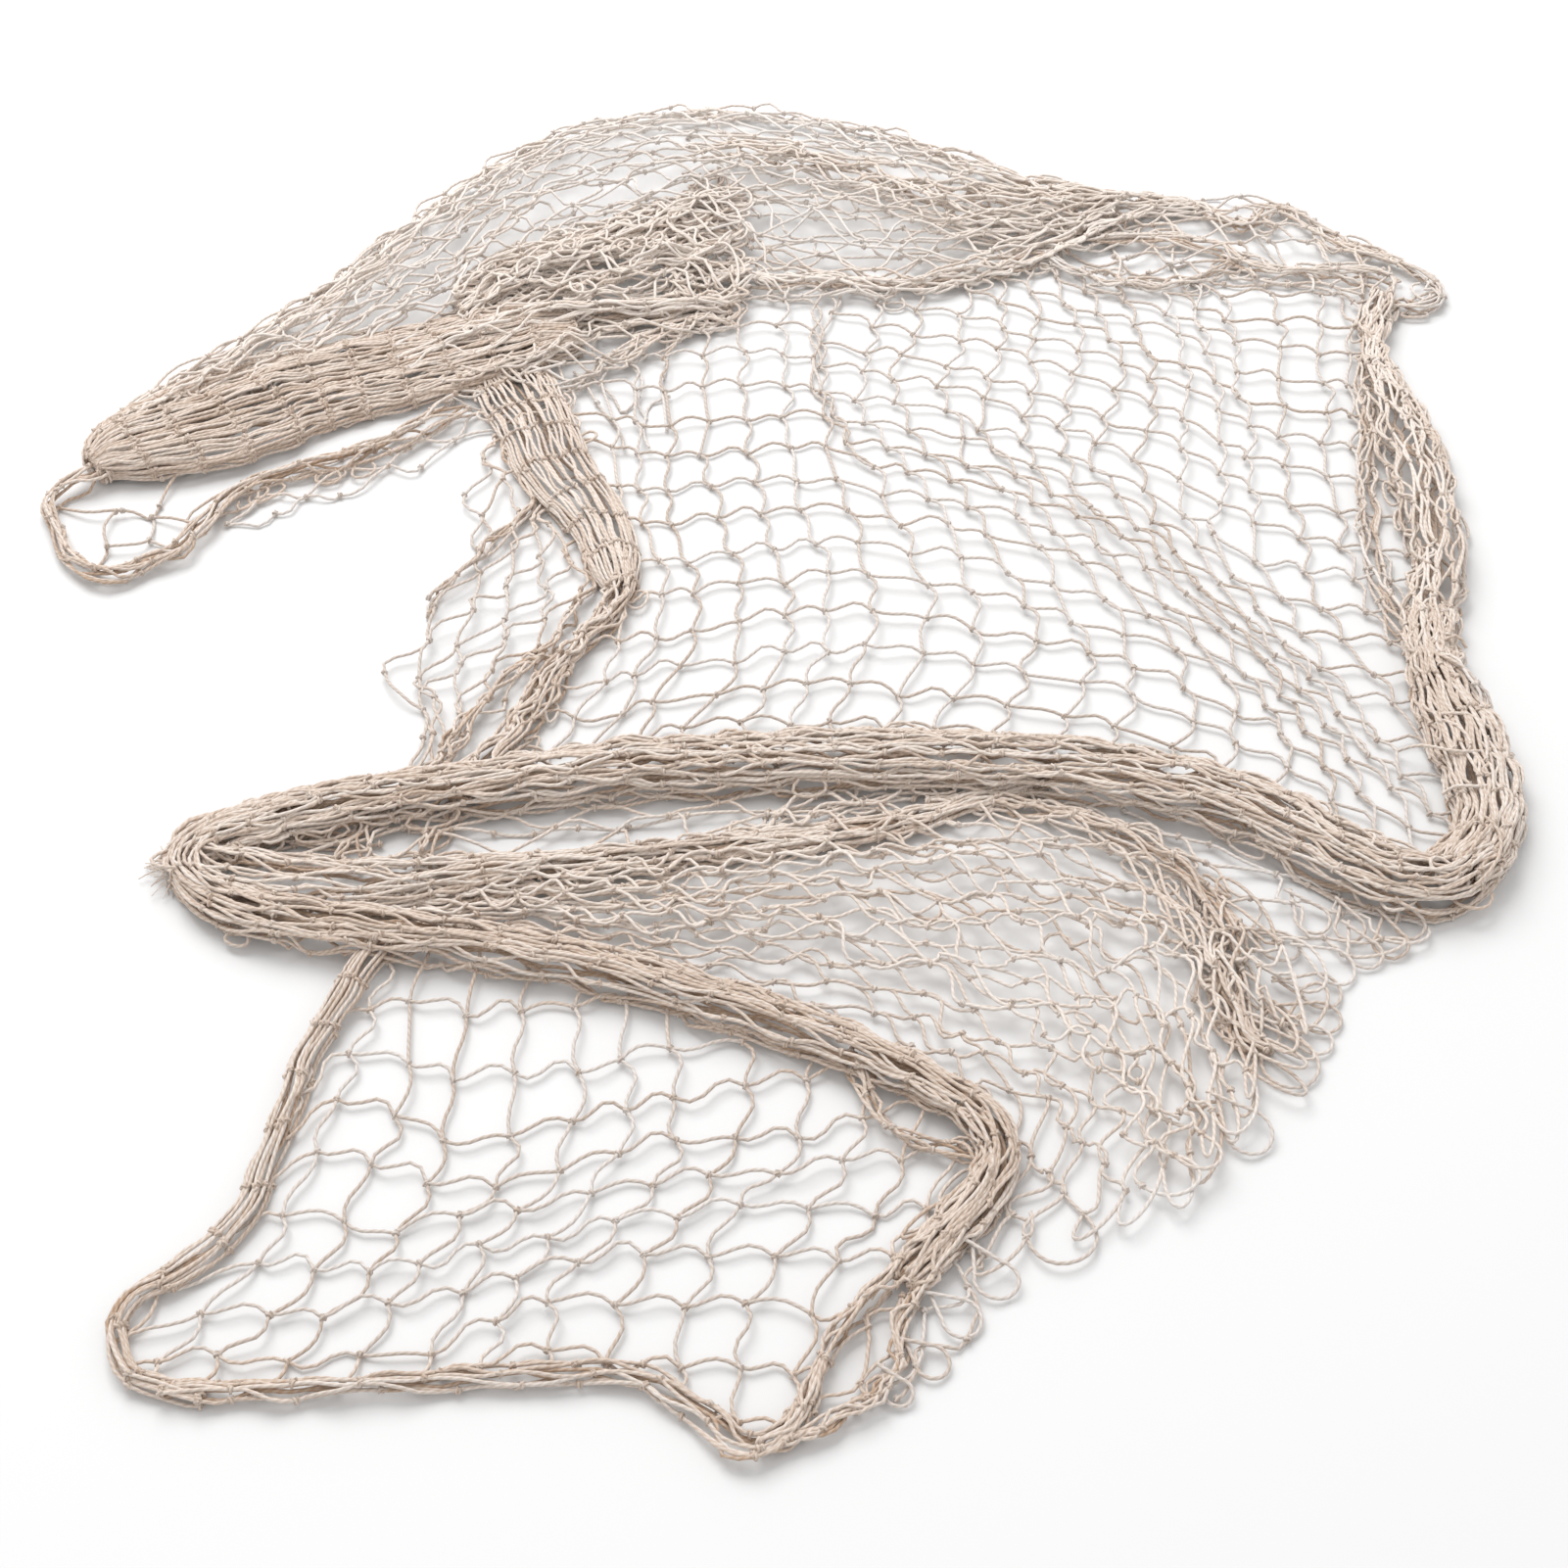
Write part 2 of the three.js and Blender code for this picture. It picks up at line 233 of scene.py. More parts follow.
def bowedLine(spots, slack, bow, skew, rng, rise):
    # a cord through its knots, each bar bowed by the length it has to spare and bent at its knots
    steps = np.arange(twine["parts"]) / twine["parts"]
    span = np.diff(spots, axis=0)
    gap = np.maximum(np.linalg.norm(span, axis=1), 1.0)
    free = twine["bar"] * slack * rng.uniform(*barChance["length"], len(gap))
    deep = 0.64 * np.sqrt(gap * np.maximum(free - gap, 0.0))  # sine bow of that length
    sense = np.where(rng.random(len(gap)) < barChance["turned"], barChance["turnedBow"], 1.0)
    deep = np.minimum(deep, barChance["deepest"] * gap) * bow * sense
    bent = skew * rng.normal(1.0, barChance["skew"], len(gap)) * np.minimum(gap / twine["bar"], 1.0)
    lift = rise * rng.uniform(*barChance["lift"], len(gap))
    points = spots[:-1, None, :] + span[:, None, :] * steps[None, :, None]
    wave = deep[:, None] * np.sin(np.pi * steps) + bent[:, None] * np.sin(math.tau * steps)
    points[:, :, :2] += unit(leftOf(span))[:, None, :] * wave[:, :, None]
    points[:, :, 2] += lift[:, None] * np.sin(np.pi * steps)
    return np.concatenate([points.reshape(-1, 3), spots[-1:]])


def outlineOf(*stretches):  # closed outline from stretches of bundles, each from one share to another
    points = []
    for form, start, end in stretches:
        path = flatPath(form["table"])
        points.append(weights(len(path), np.linspace(start, end, 40)) @ path)
    return np.concatenate(points)


def within(spots, outline):
    x, y = spots[..., 0, None], spots[..., 1, None]
    ax, ay = outline.T
    bx, by = np.roll(outline, -1, axis=0).T
    rise = np.where(by == ay, 1e-9, by - ay)
    crossed = ((ay > y) != (by > y)) & (x < ax + (bx - ax) * (y - ay) / rise)
    return crossed.sum(-1) % 2 == 1


def trimmed(inner, outer, outline):  # end of a bar that leaves the outline
    low, high = 0.0, 1.0
    for k in range(7):
        half = (low + high) / 2
        if within(inner + (outer - inner) * half, outline):
            low = half
        else:
            high = half
    return inner + (outer - inner) * low


def layPanel(net, values, outline):
    # square meshes, kept where they lie inside the outline
    rng = np.random.default_rng(values["seed"])
    mesh, meshes = values["mesh"], values["meshes"]
    i, j = np.meshgrid(np.arange(mesh[0], mesh[-1] + 1), np.arange(-1, meshes + 1), indexing="ij")
    u = np.interp(i, mesh, np.linspace(0.0, 1.0, len(mesh)))
    spots = openSurface(values["grid"], np.zeros(len(mesh)))(u, j / meshes).reshape(i.shape + (3,))
    spots[:, 0] = 2 * spots[:, 1] - spots[:, 2]  # one row beyond the lines' first points
    spots[..., :2] += rng.normal(0.0, values["jitter"], i.shape + (2,))
    tide = sway(rng, 1.6)(u, j / meshes).reshape(i.shape)
    spots[..., 2] += values["hover"] + values["swell"] * (0.5 + 0.5 * tide)
    held = within(spots, outline)
    across = (spots.transpose(1, 0, 2), held.T, values["rows"])
    for lines, keep, bend in (across, (spots, held, values["columns"])):
        for line, on in zip(lines, keep):
            drawn = (on[:-1] | on[1:]).astype(int)
            ends = np.flatnonzero(np.diff(np.concatenate([[0], drawn, [0]])))
            for a, b in ends.reshape(-1, 2):
                cord = line[a:b + 1].copy()
                if not on[a]:
                    cord[0] = trimmed(cord[1], cord[0], outline)
                if not on[b]:
                    cord[-1] = trimmed(cord[-2], cord[-1], outline)
                net.addCord(bowedLine(cord, *bend, rng, values["rise"]), b - a)
    run = np.gradient(spots, axis=1)
    yaw = np.arctan2(run[..., 1], run[..., 0]) + np.pi / 4 + rng.normal(0.0, 0.3, i.shape)
    net.addKnots(spots[held], yaw[held])


usualNet = dict(  # unevenness of drawn-out meshes, where a form doesn't say otherwise
    slip=2.6,  # knots along the cord, mm
    sharedSlip=1.5,  # slip that neighbours share, as a multiple of their own
    cross=0.6,  # knots across it, in rows
    roam=0.8,  # slow drift of a row, in rows
    wander=0.9,  # drift that neighbours share, in rows
    lift=0.8,
    swell=1.0,
    bulge=0.9,  # bow of each bar, mm
    bow=0.5,  # bow that a whole row of bars shares, mm
    skew=0.9,  # bend of each bar at its knots, mm
    round=0.75,
    crowd=0.0,  # below 0 draws the rows towards both edges
    stretch=0.97,
    shortest=0.42,  # least pitch of the knots, in bars
    middle=0.34,  # row whose length sets the pitch of the knots
    loop=0.0,  # fullness of the turns at the far end
    pleat=False,  # cords side by side with their knots in line
    parts=twine["parts"],
)


def layDiamonds(net, surface, given, knotShare=1.0):
    # meshes pulled out along u: each cord runs the whole length, swinging between two rows of knots
    values = {**usualNet, **given}
    rows = values["rows"]
    rng = np.random.default_rng(values["seed"])
    fine, ring = np.linspace(0.0, 1.0, 161), np.linspace(0.0, 1.0, 33)  # samples along and across
    middle = surface(fine, np.full(len(fine), values["middle"]))
    run = np.concatenate([[0.0], np.cumsum(stepLengths(middle[:, :2]))])
    girth = np.array([stepLengths(surface(np.full(len(ring), t), ring)).sum() for t in fine])
    bar = twine["bar"] * values["stretch"]
    stations = [0.0]
    while stations[-1] < run[-1]:
        half = 0.0 if values["pleat"] else np.interp(stations[-1], run, girth) / rows
        stations.append(stations[-1] + math.sqrt(max(bar ** 2 - half ** 2, (values["shortest"] * bar) ** 2)))
    stations = np.array(stations) * run[-1] / stations[-1]
    count = len(stations)
    slipS = rng.normal(0.0, values["slip"], (count, rows + 1))
    slipV = rng.normal(0.0, values["cross"], (count, rows + 1))
    coarse = rng.normal(0.0, values["roam"], (count // 4 + 2, rows + 1))
    slipV += weights(len(coarse), np.linspace(0.0, 1.0, count)) @ coarse
    slipZ = np.abs(rng.normal(0.0, values["lift"], (count, rows + 1)))
    drift, tide = sway(rng, 1.0), sway(rng, 1.8)
    f = np.arange(values["parts"]) / values["parts"]
    soft = f - values["round"] * np.sin(math.tau * f) / math.tau
    shared = rng.normal(0.0, values["bow"], count - 1)
    places = np.repeat(stations / run[-1], rows + 1), np.tile(np.arange(rows + 1) / rows, count)
    slipS += values["sharedSlip"] * values["slip"] * sway(rng, 0.8)(*places).reshape(count, rows + 1)

    def settle(s, row, up):
        u, v = np.interp(s, run, fine), row / rows
        v = v + values["crowd"] * np.sin(math.tau * v) / math.tau + values["wander"] * drift(u, v) / rows
        points = surface(u, v)
        points[:, 2] += up + values["swell"] * (0.5 + 0.5 * tide(u, v))
        return points

    def blend(a, w):
        return np.concatenate([(a[:-1, None] + np.diff(a)[:, None] * w).ravel(), a[-1:]])

    def arch(sizes, halves=1):
        return np.concatenate([(sizes[:, None] * np.sin(halves * np.pi * f)).ravel(), [0.0]])

    lines = []
    for j in range(rows):
        row = np.full(count, j) if values["pleat"] else j + (np.arange(count) + j) % 2
        at = (np.arange(count), row)
        up = blend(slipZ[at], f) + values["lift"] * arch(rng.uniform(-0.2, 1.0, count - 1))
        points = settle(blend(stations + slipS[at], f), blend(row + slipV[at], soft), up)
        off = arch(shared + rng.normal(0.0, values["bulge"], count - 1))
        off += arch(values["skew"] * rng.normal(0.6, 0.8, count - 1), 2)
        points[:, :2] += leftOf(unit(np.gradient(points[:, :2], axis=0))) * off[:, None]
        lines.append(points)
    j = 0
    while j < rows:
        if values["loop"] and j + 1 < rows and (count - 1 + j) % 2 == 0:
            turned = turnBack(lines[j], lines[j + 1], values["loop"], rng)
            net.addCord(np.concatenate([lines[j], turned, lines[j + 1][::-1]]), 2 * count - 1)
            j += 2
        else:
            # rows inside a bundle get a darker tone: painted shade between the cords
            net.addCord(lines[j], count - 1, tone=np.nan if j < rows * knotShare else twine["innerShadeTone"])
            j += 1
    m, r = np.meshgrid(np.arange(count), np.arange(int(rows * knotShare) + 1), indexing="ij")
    keep = ((m + r) % 2 == 0) | values["pleat"]
    m, r = m[keep], r[keep]
    s = stations[m] + slipS[m, r]
    spots = settle(s, r + slipV[m, r], slipZ[m, r])
    ahead = settle(s + 1.0, r + slipV[m, r], slipZ[m, r]) - spots
    net.addKnots(spots, np.arctan2(ahead[:, 1], ahead[:, 0]) + rng.normal(0.0, 0.25, len(s)))


def turnBack(a, b, full, rng):  # round loop at the edge, from the end of one cord to the end of the next
    out = a[-1] - a[-3] + b[-1] - b[-3]
    out[2] = 0.0
    out /= max(np.linalg.norm(out), 1e-6)
    half = (a[-1] - b[-1]) / 2
    reach = math.sqrt(max(twine["bar"] ** 2 - half @ half, (0.3 * twine["bar"]) ** 2))
    reach *= full * rng.uniform(0.8, 1.15)
    t = np.linspace(0.0, np.pi, 13)[1:-1, None]
    turned = (a[-1] + b[-1]) / 2 + half * np.cos(t) * (1.0 + 0.35 * np.sin(t)) + out * reach * np.sin(t)
    turned += half * rng.normal(0.0, 0.25) * np.sin(t)
    turned[:, 2] += rng.uniform(0.0, 2.0) * np.sin(t[:, 0])
    return turned


usualLoop = dict(  # hairpin loops, where a form doesn't say otherwise
    start=0.02,  # stretch of the bundle that they stand on
    end=0.98,
    spread=0.0,  # over the bundle's back, as a share of its half width; 0 for its edges
    side=0,  # edge: 1 left, -1 right, 0 either
    edge=0.85,  # place of the edges, as a share of the half width
    drop=0.7,  # share of its height that a loop at an edge loses
    lean=3.0,  # mm to one side
    hop=2.5,  # mm up
)


def strayLoops(net, table, given):
    # single bars that stand out of a bundle as hairpin loops, at its edges or spread over its back
    values = {**usualLoop, **given}
    rng = np.random.default_rng(values["seed"])
    path = flatPath(table)
    t = np.linspace(0.0, np.pi, 10)
    start, end, spread = values["start"], values["end"], values["spread"]
    for k in range(values["count"]):
        u = [start + (end - start) * rng.random()]
        w = weights(len(path), u)
        ahead, side = (way[0] for way in heading(path, u))
        if spread:
            place, turn = spread * rng.uniform(-1.0, 1.0), rng.uniform(0.0, math.tau)
            out = ahead * math.cos(turn) + side * math.sin(turn)
        else:
            place = values["edge"] * (values["side"] or rng.choice([-1.0, 1.0]))
            out = side * math.copysign(1.0, place)
        reach = values["reach"] * rng.uniform(0.5, 1.25)
        half = values["half"] * rng.uniform(0.6, 1.3)
        across = half * np.cos(t) * (0.6 + 0.8 * np.sin(t)) + rng.normal(0.0, values["lean"]) * np.sin(t)
        root = (w @ path)[0] + side * place * (w @ table["wide"])[0] / 2
        flat = root + leftOf(out) * across[:, None] + out * (reach * np.sin(t))[:, None]
        high = (w @ table["high"])[0] * (1.0 - place ** 2) ** 0.4 * rng.uniform(0.5, 1.0)
        drop = 0.0 if spread else values["drop"]
        up = high * (1.0 - drop * np.sin(t)) + rng.uniform(0.0, values["hop"]) * np.sin(t)
        net.addRaised(flat, up, 1)


def roundLoops(net, values):
    # slack bars lying in a round loop, open towards where they come from
    rng = np.random.default_rng(values["seed"])
    for x, y, size, turn in zip(*values["table"].values()):
        root = math.radians(turn)
        angle = root + np.linspace(values["gap"], math.tau - values["gap"], 15)
        ring = np.column_stack([np.cos(angle), np.sin(angle) * rng.uniform(0.8, 1.0)]) * size
        stem = np.array([math.cos(root), math.sin(root)]) * size
        skew, stem = leftOf(stem) * values["apart"], values["stem"] * stem
        flat = np.concatenate([[stem - skew], ring, [stem + skew]]) + [x, y]
        up = values["high"] * rng.uniform(0.4, 1.0) * np.abs(np.linspace(-1.0, 1.0, len(flat)))
        net.addRaised(flat, up + np.linspace(0.0, values["climb"], len(flat)), 2)


# mm from point to point, for a radian of the ups and downs, and from knot to knot
cordSteps = dict(point=4.5, wave=9.0, knot=20.0)


def looseCords(net, values):
    # single cords along given points
    rng = np.random.default_rng(values["seed"])
    for spots in values["cords"]:
        spots = np.array(spots, float)
        length = stepLengths(spots).sum()
        t = np.linspace(0.0, 1.0, max(int(length / cordSteps["point"]), 5))
        points = weights(len(spots), t) @ spots
        if spots.shape[1] == 2:  # no heights given
            wave = np.sin(t * length / cordSteps["wave"] + rng.uniform(0.0, 6.0))
            up = values["high"] * (0.5 + 0.5 * wave)
            points = np.column_stack([points, twine["radius"] + up])
        net.addCord(points, max(int(length / twine["bar"]), 1))
        steps = np.linspace(0.0, 1.0, max(int(length / cordSteps["knot"]), 2))
        if not values.get("endKnots", True):
            steps = steps[1:-1]
        ties = np.column_stack([np.interp(steps, t, column) for column in points.T])
        net.addKnots(ties, rng.uniform(0.0, 6.0, len(ties)))


def layBundles(net, *bundles):
    for form in bundles:
        if form["net"]:
            layDiamonds(net, bundleSurface(form["table"], form["share"]), form["net"], form["share"])
        for loops in form["loops"]:
            strayLoops(net, form["table"], loops)


def laySheets(net, *sheets):
    for form in sheets:
        for layer in form["layers"]:
            full = openSurface(form["grid"], form["lift"], layer.get("level", 0.0), form["alongLines"])
            u0, v0, u1, v1 = layer.get("window", (0, 0, 1, 1))  # part of the sheet that the layer covers

            def part(u, v):
                return full(u0 + (u1 - u0) * np.asarray(u), v0 + (v1 - v0) * np.asarray(v))

            layDiamonds(net, part, {"middle": 0.5, **layer})


# cotton twine material

cottonValues = dict(
    light=(0.735, 0.70, 0.674),
    # dark end of the tone ramp: the twine's darker tone, and also the colour of the painted shade in the ply
    # grooves, on cords deep in a bundle and on knots
    dark=(0.41, 0.29, 0.203),
    packedWarmShade=(1.06, 1.01, 0.96),  # painted warm shade, multiplied in where cords lie close together
    plyPitch=3.4,  # mm along the cord for one turn of the plies
    speckle=900.0,  # fibre speckle and stain, waves per metre
    stain=26.0,
    base=0.06,  # tone to which the painted shade of the ply grooves, speckle, stain and each cord's tone add their shares; a cord's tone holds painted light and shade as well as its own random tone
    grooveShadeShare=0.38,
    speckleShare=0.34,
    stainShare=0.3,
    cordShare=0.34,
    darkest=0.2,  # tone up to which the dark colour is pure
    roughness=0.92,
    gloss=0.2,
    sheen=0.25,
    sheenRoughness=0.6,
    bump=0.28,
    bumpDepth=0.4,  # mm
)


def fill(tree, made, inputs):  # links sockets to a node's inputs and sets the other values there
    for name, value in inputs.items():
        if isinstance(value, bpy.types.NodeSocket):
            tree.links.new(value, made.inputs[name])
        else:
            made.inputs[name].default_value = value


def node(tree, kind, inputs=None, **settings):
    made = tree.nodes.new(kind)
    for name, value in settings.items():
        setattr(made, name, value)
    fill(tree, made, inputs or {})
    return made


def mathNode(tree, operation, *values):
    return node(tree, "ShaderNodeMath", dict(enumerate(values)), operation=operation).outputs[0]


def plyGroup():
    # twist of the two plies round the cord, from the cord's own length and ring attributes; the groove
    # between the plies is painted shade and also gives bump
    tree = bpy.data.node_groups.new("twistedPly", "ShaderNodeTree")
    for name, way in (("Pitch", "INPUT"), ("Groove", "OUTPUT"), ("Tint", "OUTPUT")):
        tree.interface.new_socket(name, in_out=way, socket_type="NodeSocketFloat")
    along, ringCos, ringSin, tint = (
        node(tree, "ShaderNodeAttribute", attribute_name=name).outputs["Fac"]
        for name in ("along", "ringCos", "ringSin", "tint")
    )
    turns = mathNode(tree, "DIVIDE", along, node(tree, "NodeGroupInput").outputs["Pitch"])
    angle = mathNode(tree, "MULTIPLY", turns, math.tau)
    sine, cosine = mathNode(tree, "SINE", angle), mathNode(tree, "COSINE", angle)
    wave = mathNode(tree, "MULTIPLY_ADD", sine, ringCos, mathNode(tree, "MULTIPLY", cosine, ringSin))
    groove = mathNode(tree, "MULTIPLY_ADD", wave, 0.5, 0.5)
    node(tree, "NodeGroupOutput", {"Groove": groove, "Tint": tint})
    return tree


def makeCotton(values):
    material = bpy.data.materials.new("twistedCotton")
    material.use_nodes = True
    tree = material.node_tree
    ply = node(tree, "ShaderNodeGroup", node_tree=plyGroup())
    fill(tree, ply, {"Pitch": values["plyPitch"] * mm})
    place = node(tree, "ShaderNodeTexCoord").outputs["Object"]

    def noise(scale):
        inputs = {"Scale": scale, "Detail": 3.0, "Vector": place}
        return node(tree, "ShaderNodeTexNoise", inputs).outputs["Fac"]

    speckle, stain = noise(values["speckle"]), noise(values["stain"])
    # the ply groove's share is painted shade between the plies; together with the speckle it also gives the
    # bump height
    fibre = mathNode(tree, "MULTIPLY_ADD", speckle, values["speckleShare"], values["base"])
    fibre = mathNode(tree, "MULTIPLY_ADD", ply.outputs["Groove"], values["grooveShadeShare"], fibre)
    shade = mathNode(tree, "MULTIPLY_ADD", ply.outputs["Tint"], values["cordShare"], fibre)
    shade = mathNode(tree, "MULTIPLY_ADD", stain, values["stainShare"], shade)
    ramp = node(tree, "ShaderNodeValToRGB", {"Fac": shade})
    ramp.color_ramp.elements[0].position = values["darkest"]
    ramp.color_ramp.elements[0].color = (*values["dark"], 1.0)
    ramp.color_ramp.elements[1].color = (*values["light"], 1.0)
    # painted warm shade: where cords crowd together, the ramp's colour is multiplied by a warmer tint
    crowd = node(tree, "ShaderNodeAttribute", attribute_name="crowd").outputs["Fac"]
    warm = node(tree, "ShaderNodeMix", data_type="RGBA", blend_type="MULTIPLY")
    # a mix of colours takes its factor at 0 and its colours at 6 and 7, and puts out its colour at 2
    fill(tree, warm, {0: crowd, 6: ramp.outputs["Color"], 7: (*values["packedWarmShade"], 1.0)})
    relief = {"Strength": values["bump"], "Distance": values["bumpDepth"] * mm, "Height": fibre}
    bump = node(tree, "ShaderNodeBump", relief)
    fill(tree, tree.nodes["Principled BSDF"], {
        "Base Color": warm.outputs[2],
        "Roughness": values["roughness"],
        "Sheen Weight": values["sheen"],
        "Sheen Roughness": values["sheenRoughness"],
        "Specular IOR Level": values["gloss"],
        "Normal": bump.outputs["Normal"],
    })
    return material


cotton = makeCotton(cottonValues)
print("cotton made")


# cords and knots from their paths

cordInputs = {  # named inputs of the cord nodes
    "Cord radius": ("NodeSocketFloat", twine["radius"] * mm),
    "Cord sides": ("NodeSocketInt", twine["sides"]),
    "Knot radius": ("NodeSocketFloat", twine["knotRadius"] * mm),
    "Knot turns": ("NodeSocketFloat", twine["knotTurns"]),
    "Cotton": ("NodeSocketMaterial", cotton),
}


def makeCordTree():
    tree = bpy.data.node_groups.new("knottedCords", "GeometryNodeTree")
    tree.interface.new_socket("Geometry", in_out="INPUT", socket_type="NodeSocketGeometry")
    for name, (kind, value) in cordInputs.items():
        tree.interface.new_socket(name, in_out="INPUT", socket_type=kind)
    tree.interface.new_socket("Geometry", in_out="OUTPUT", socket_type="NodeSocketGeometry")
    gin = node(tree, "NodeGroupInput").outputs

    def add(kind, inputs, output="Geometry", **settings):
        return node(tree, "GeometryNode" + kind, inputs, **settings).outputs[output]

    def named(name, kind):
        return add("InputNamedAttribute", {"Name": name}, "Attribute", data_type=kind)

    def keep(geometry, name, value):
        inputs = {"Name": name, "Geometry": geometry, "Value": value}
        return add("StoreNamedAttribute", inputs, data_type="FLOAT", domain="POINT")

    def ring(sides, radius):  # round profile that carries its own place round the cord
        circle = add("CurvePrimitiveCircle", {"Resolution": sides, "Radius": radius}, "Curve")
        turn = mathNode(tree, "MULTIPLY", add("SplineParameter", {}, "Factor"), 2 * math.tau)
        circle = keep(circle, "ringCos", mathNode(tree, "COSINE", turn))
        return keep(circle, "ringSin", mathNode(tree, "SINE", turn))

    def tube(curve, profile, **more):
        curve = keep(curve, "along", add("SplineParameter", {}, "Length"))
        inputs = {"Curve": curve, "Profile Curve": profile, "Fill Caps": True, **more}
        return add("CurveToMesh", inputs, "Mesh")

    def cordRadii(count):
        return mathNode(tree, "MULTIPLY", gin["Cord radius"], count)

    parts = {"Geometry": gin["Geometry"], "Selection": named("isKnot", "BOOLEAN")}
    split = node(tree, "GeometryNodeSeparateGeometry", parts, domain="POINT").outputs
    curve = add("MeshToCurve", {"Mesh": split["Inverted"]}, "Curve")
    cords = tube(curve, ring(gin["Cord sides"], gin["Cord radius"]), Scale=named("thick", "FLOAT"))
    coil = add("CurveSpiral", {
        "Resolution": twine["knotParts"],
        "Rotations": gin["Knot turns"],
        "Start Radius": gin["Knot radius"],
        "End Radius": gin["Knot radius"],
        "Height": cordRadii(twine["knotClimb"]),
    }, "Curve")
    shift = node(tree, "ShaderNodeCombineXYZ", {"Z": cordRadii(-twine["knotClimb"] / 2)}).outputs["Vector"]
    coil = add("Transform", {"Geometry": coil, "Translation": shift})
    knot = tube(coil, ring(twine["knotSides"], cordRadii(twine["knotCord"])))
    places = {"Points": split["Selection"], "Instance": knot, "Rotation": named("turn", "FLOAT_VECTOR")}
    join = node(tree, "GeometryNodeJoinGeometry")
    for made in (add("InstanceOnPoints", places, "Instances"), cords):
        fill(tree, join, {"Geometry": made})
    real = add("RealizeInstances", {"Geometry": join.outputs["Geometry"]})
    smooth = add("SetShadeSmooth", {"Geometry": real})
    paint = add("SetMaterial", {"Geometry": smooth, "Material": gin["Cotton"]})
    node(tree, "NodeGroupOutput", {"Geometry": paint})
    return tree


cordTree = makeCordTree()
warmShadeCell = dict(size=8.0, single=2.0, more=7.0)  # mm, points in it for a single cord, more points where cords lie close; cells of the painted warm shade's mask


def setValues(mesh, name, kind, values):
    made = mesh.attributes.new(name, kind, "POINT")
    made.data.foreach_set("vector" if kind == "FLOAT_VECTOR" else "value", values)


def warmShadeMask(points):  # from 0 where cords lie singly to 1 where they lie close together: the mask of the painted warm shade
    spot = np.floor((points[:, :2] - points[:, :2].min(axis=0)) / (warmShadeCell["size"] * mm)).astype(int) + 1
    grid = np.zeros(spot.max(axis=0) + 2)
    np.add.at(grid, tuple(spot.T), 1.0)
    near = sum(np.roll(grid, (a, b), (0, 1)) for a in (-1, 0, 1) for b in (-1, 0, 1)) / 9.0
    return np.clip((near[tuple(spot.T)] - warmShadeCell["single"]) / warmShadeCell["more"], 0.0, 1.0)


# each piece's tone is shifted by a set amount: above 0 it is painted light, below 0 painted shade
def makePiece(name, net, tintSeed, paintedLightAndShade=0.0):
    rng = np.random.default_rng(tintSeed)
    lengths = [len(cord) for cord in net.cords]
    ends, knotCount = np.cumsum(lengths), len(net.knots)
    cordPoints = ends[-1]
    points = (np.concatenate(net.cords + [np.array(net.knots).reshape(-1, 3)]) - planMiddle) * mm
    bars = np.setdiff1d(np.arange(cordPoints), ends - 1)
    mesh = bpy.data.meshes.new(name + "Paths")
    mesh.from_pydata(points.tolist(), np.column_stack([bars, bars + 1]).tolist(), [])
    tones = np.where(np.isnan(net.tones), rng.random(len(lengths)), net.tones)
    # knots get only the darker part of the tone range: painted shade in their crevices
    tint = paintedLightAndShade + np.concatenate([np.repeat(tones, lengths), 0.6 * rng.random(knotCount)])
    thick = np.concatenate([np.repeat(net.thick, lengths), np.ones(knotCount)])
    turn = np.zeros((len(points), 3))
    turn[cordPoints:, 0] = rng.uniform(0.0, math.tau, knotCount)
    turn[cordPoints:, 1] = np.pi / 2
    turn[cordPoints:, 2] = net.yaws
    setValues(mesh, "isKnot", "BOOLEAN", np.arange(len(points)) >= cordPoints)
    setValues(mesh, "tint", "FLOAT", tint.astype(np.float32))
    # the crowd attribute is the mask of the painted warm shade
    setValues(mesh, "crowd", "FLOAT", warmShadeMask(points).astype(np.float32))
    setValues(mesh, "thick", "FLOAT", thick.astype(np.float32))
    setValues(mesh, "turn", "FLOAT_VECTOR", turn.astype(np.float32).ravel())
    maker = bpy.data.objects.new(name + "Paths", mesh)
    scene.collection.objects.link(maker)
    modifier = maker.modifiers.new("cords", "NODES")
    modifier.node_group = cordTree
    for item in cordTree.interface.items_tree:
        if item.in_out == "INPUT" and item.name in cordInputs:
            modifier[item.identifier] = cordInputs[item.name][1]
    graph = bpy.context.evaluated_depsgraph_get()
    shaped = maker.evaluated_get(graph)
    plain = bpy.data.meshes.new_from_object(shaped, preserve_all_data_layers=True, depsgraph=graph)
    plain.name = name
    piece = bpy.data.objects.new(name, plain)
    scene.collection.objects.link(piece)
    bpy.data.objects.remove(maker)
    bpy.data.meshes.remove(mesh)
    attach(piece, "root")
    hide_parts("net")


# wide fan at the back with its front edge and the strip that lies on it

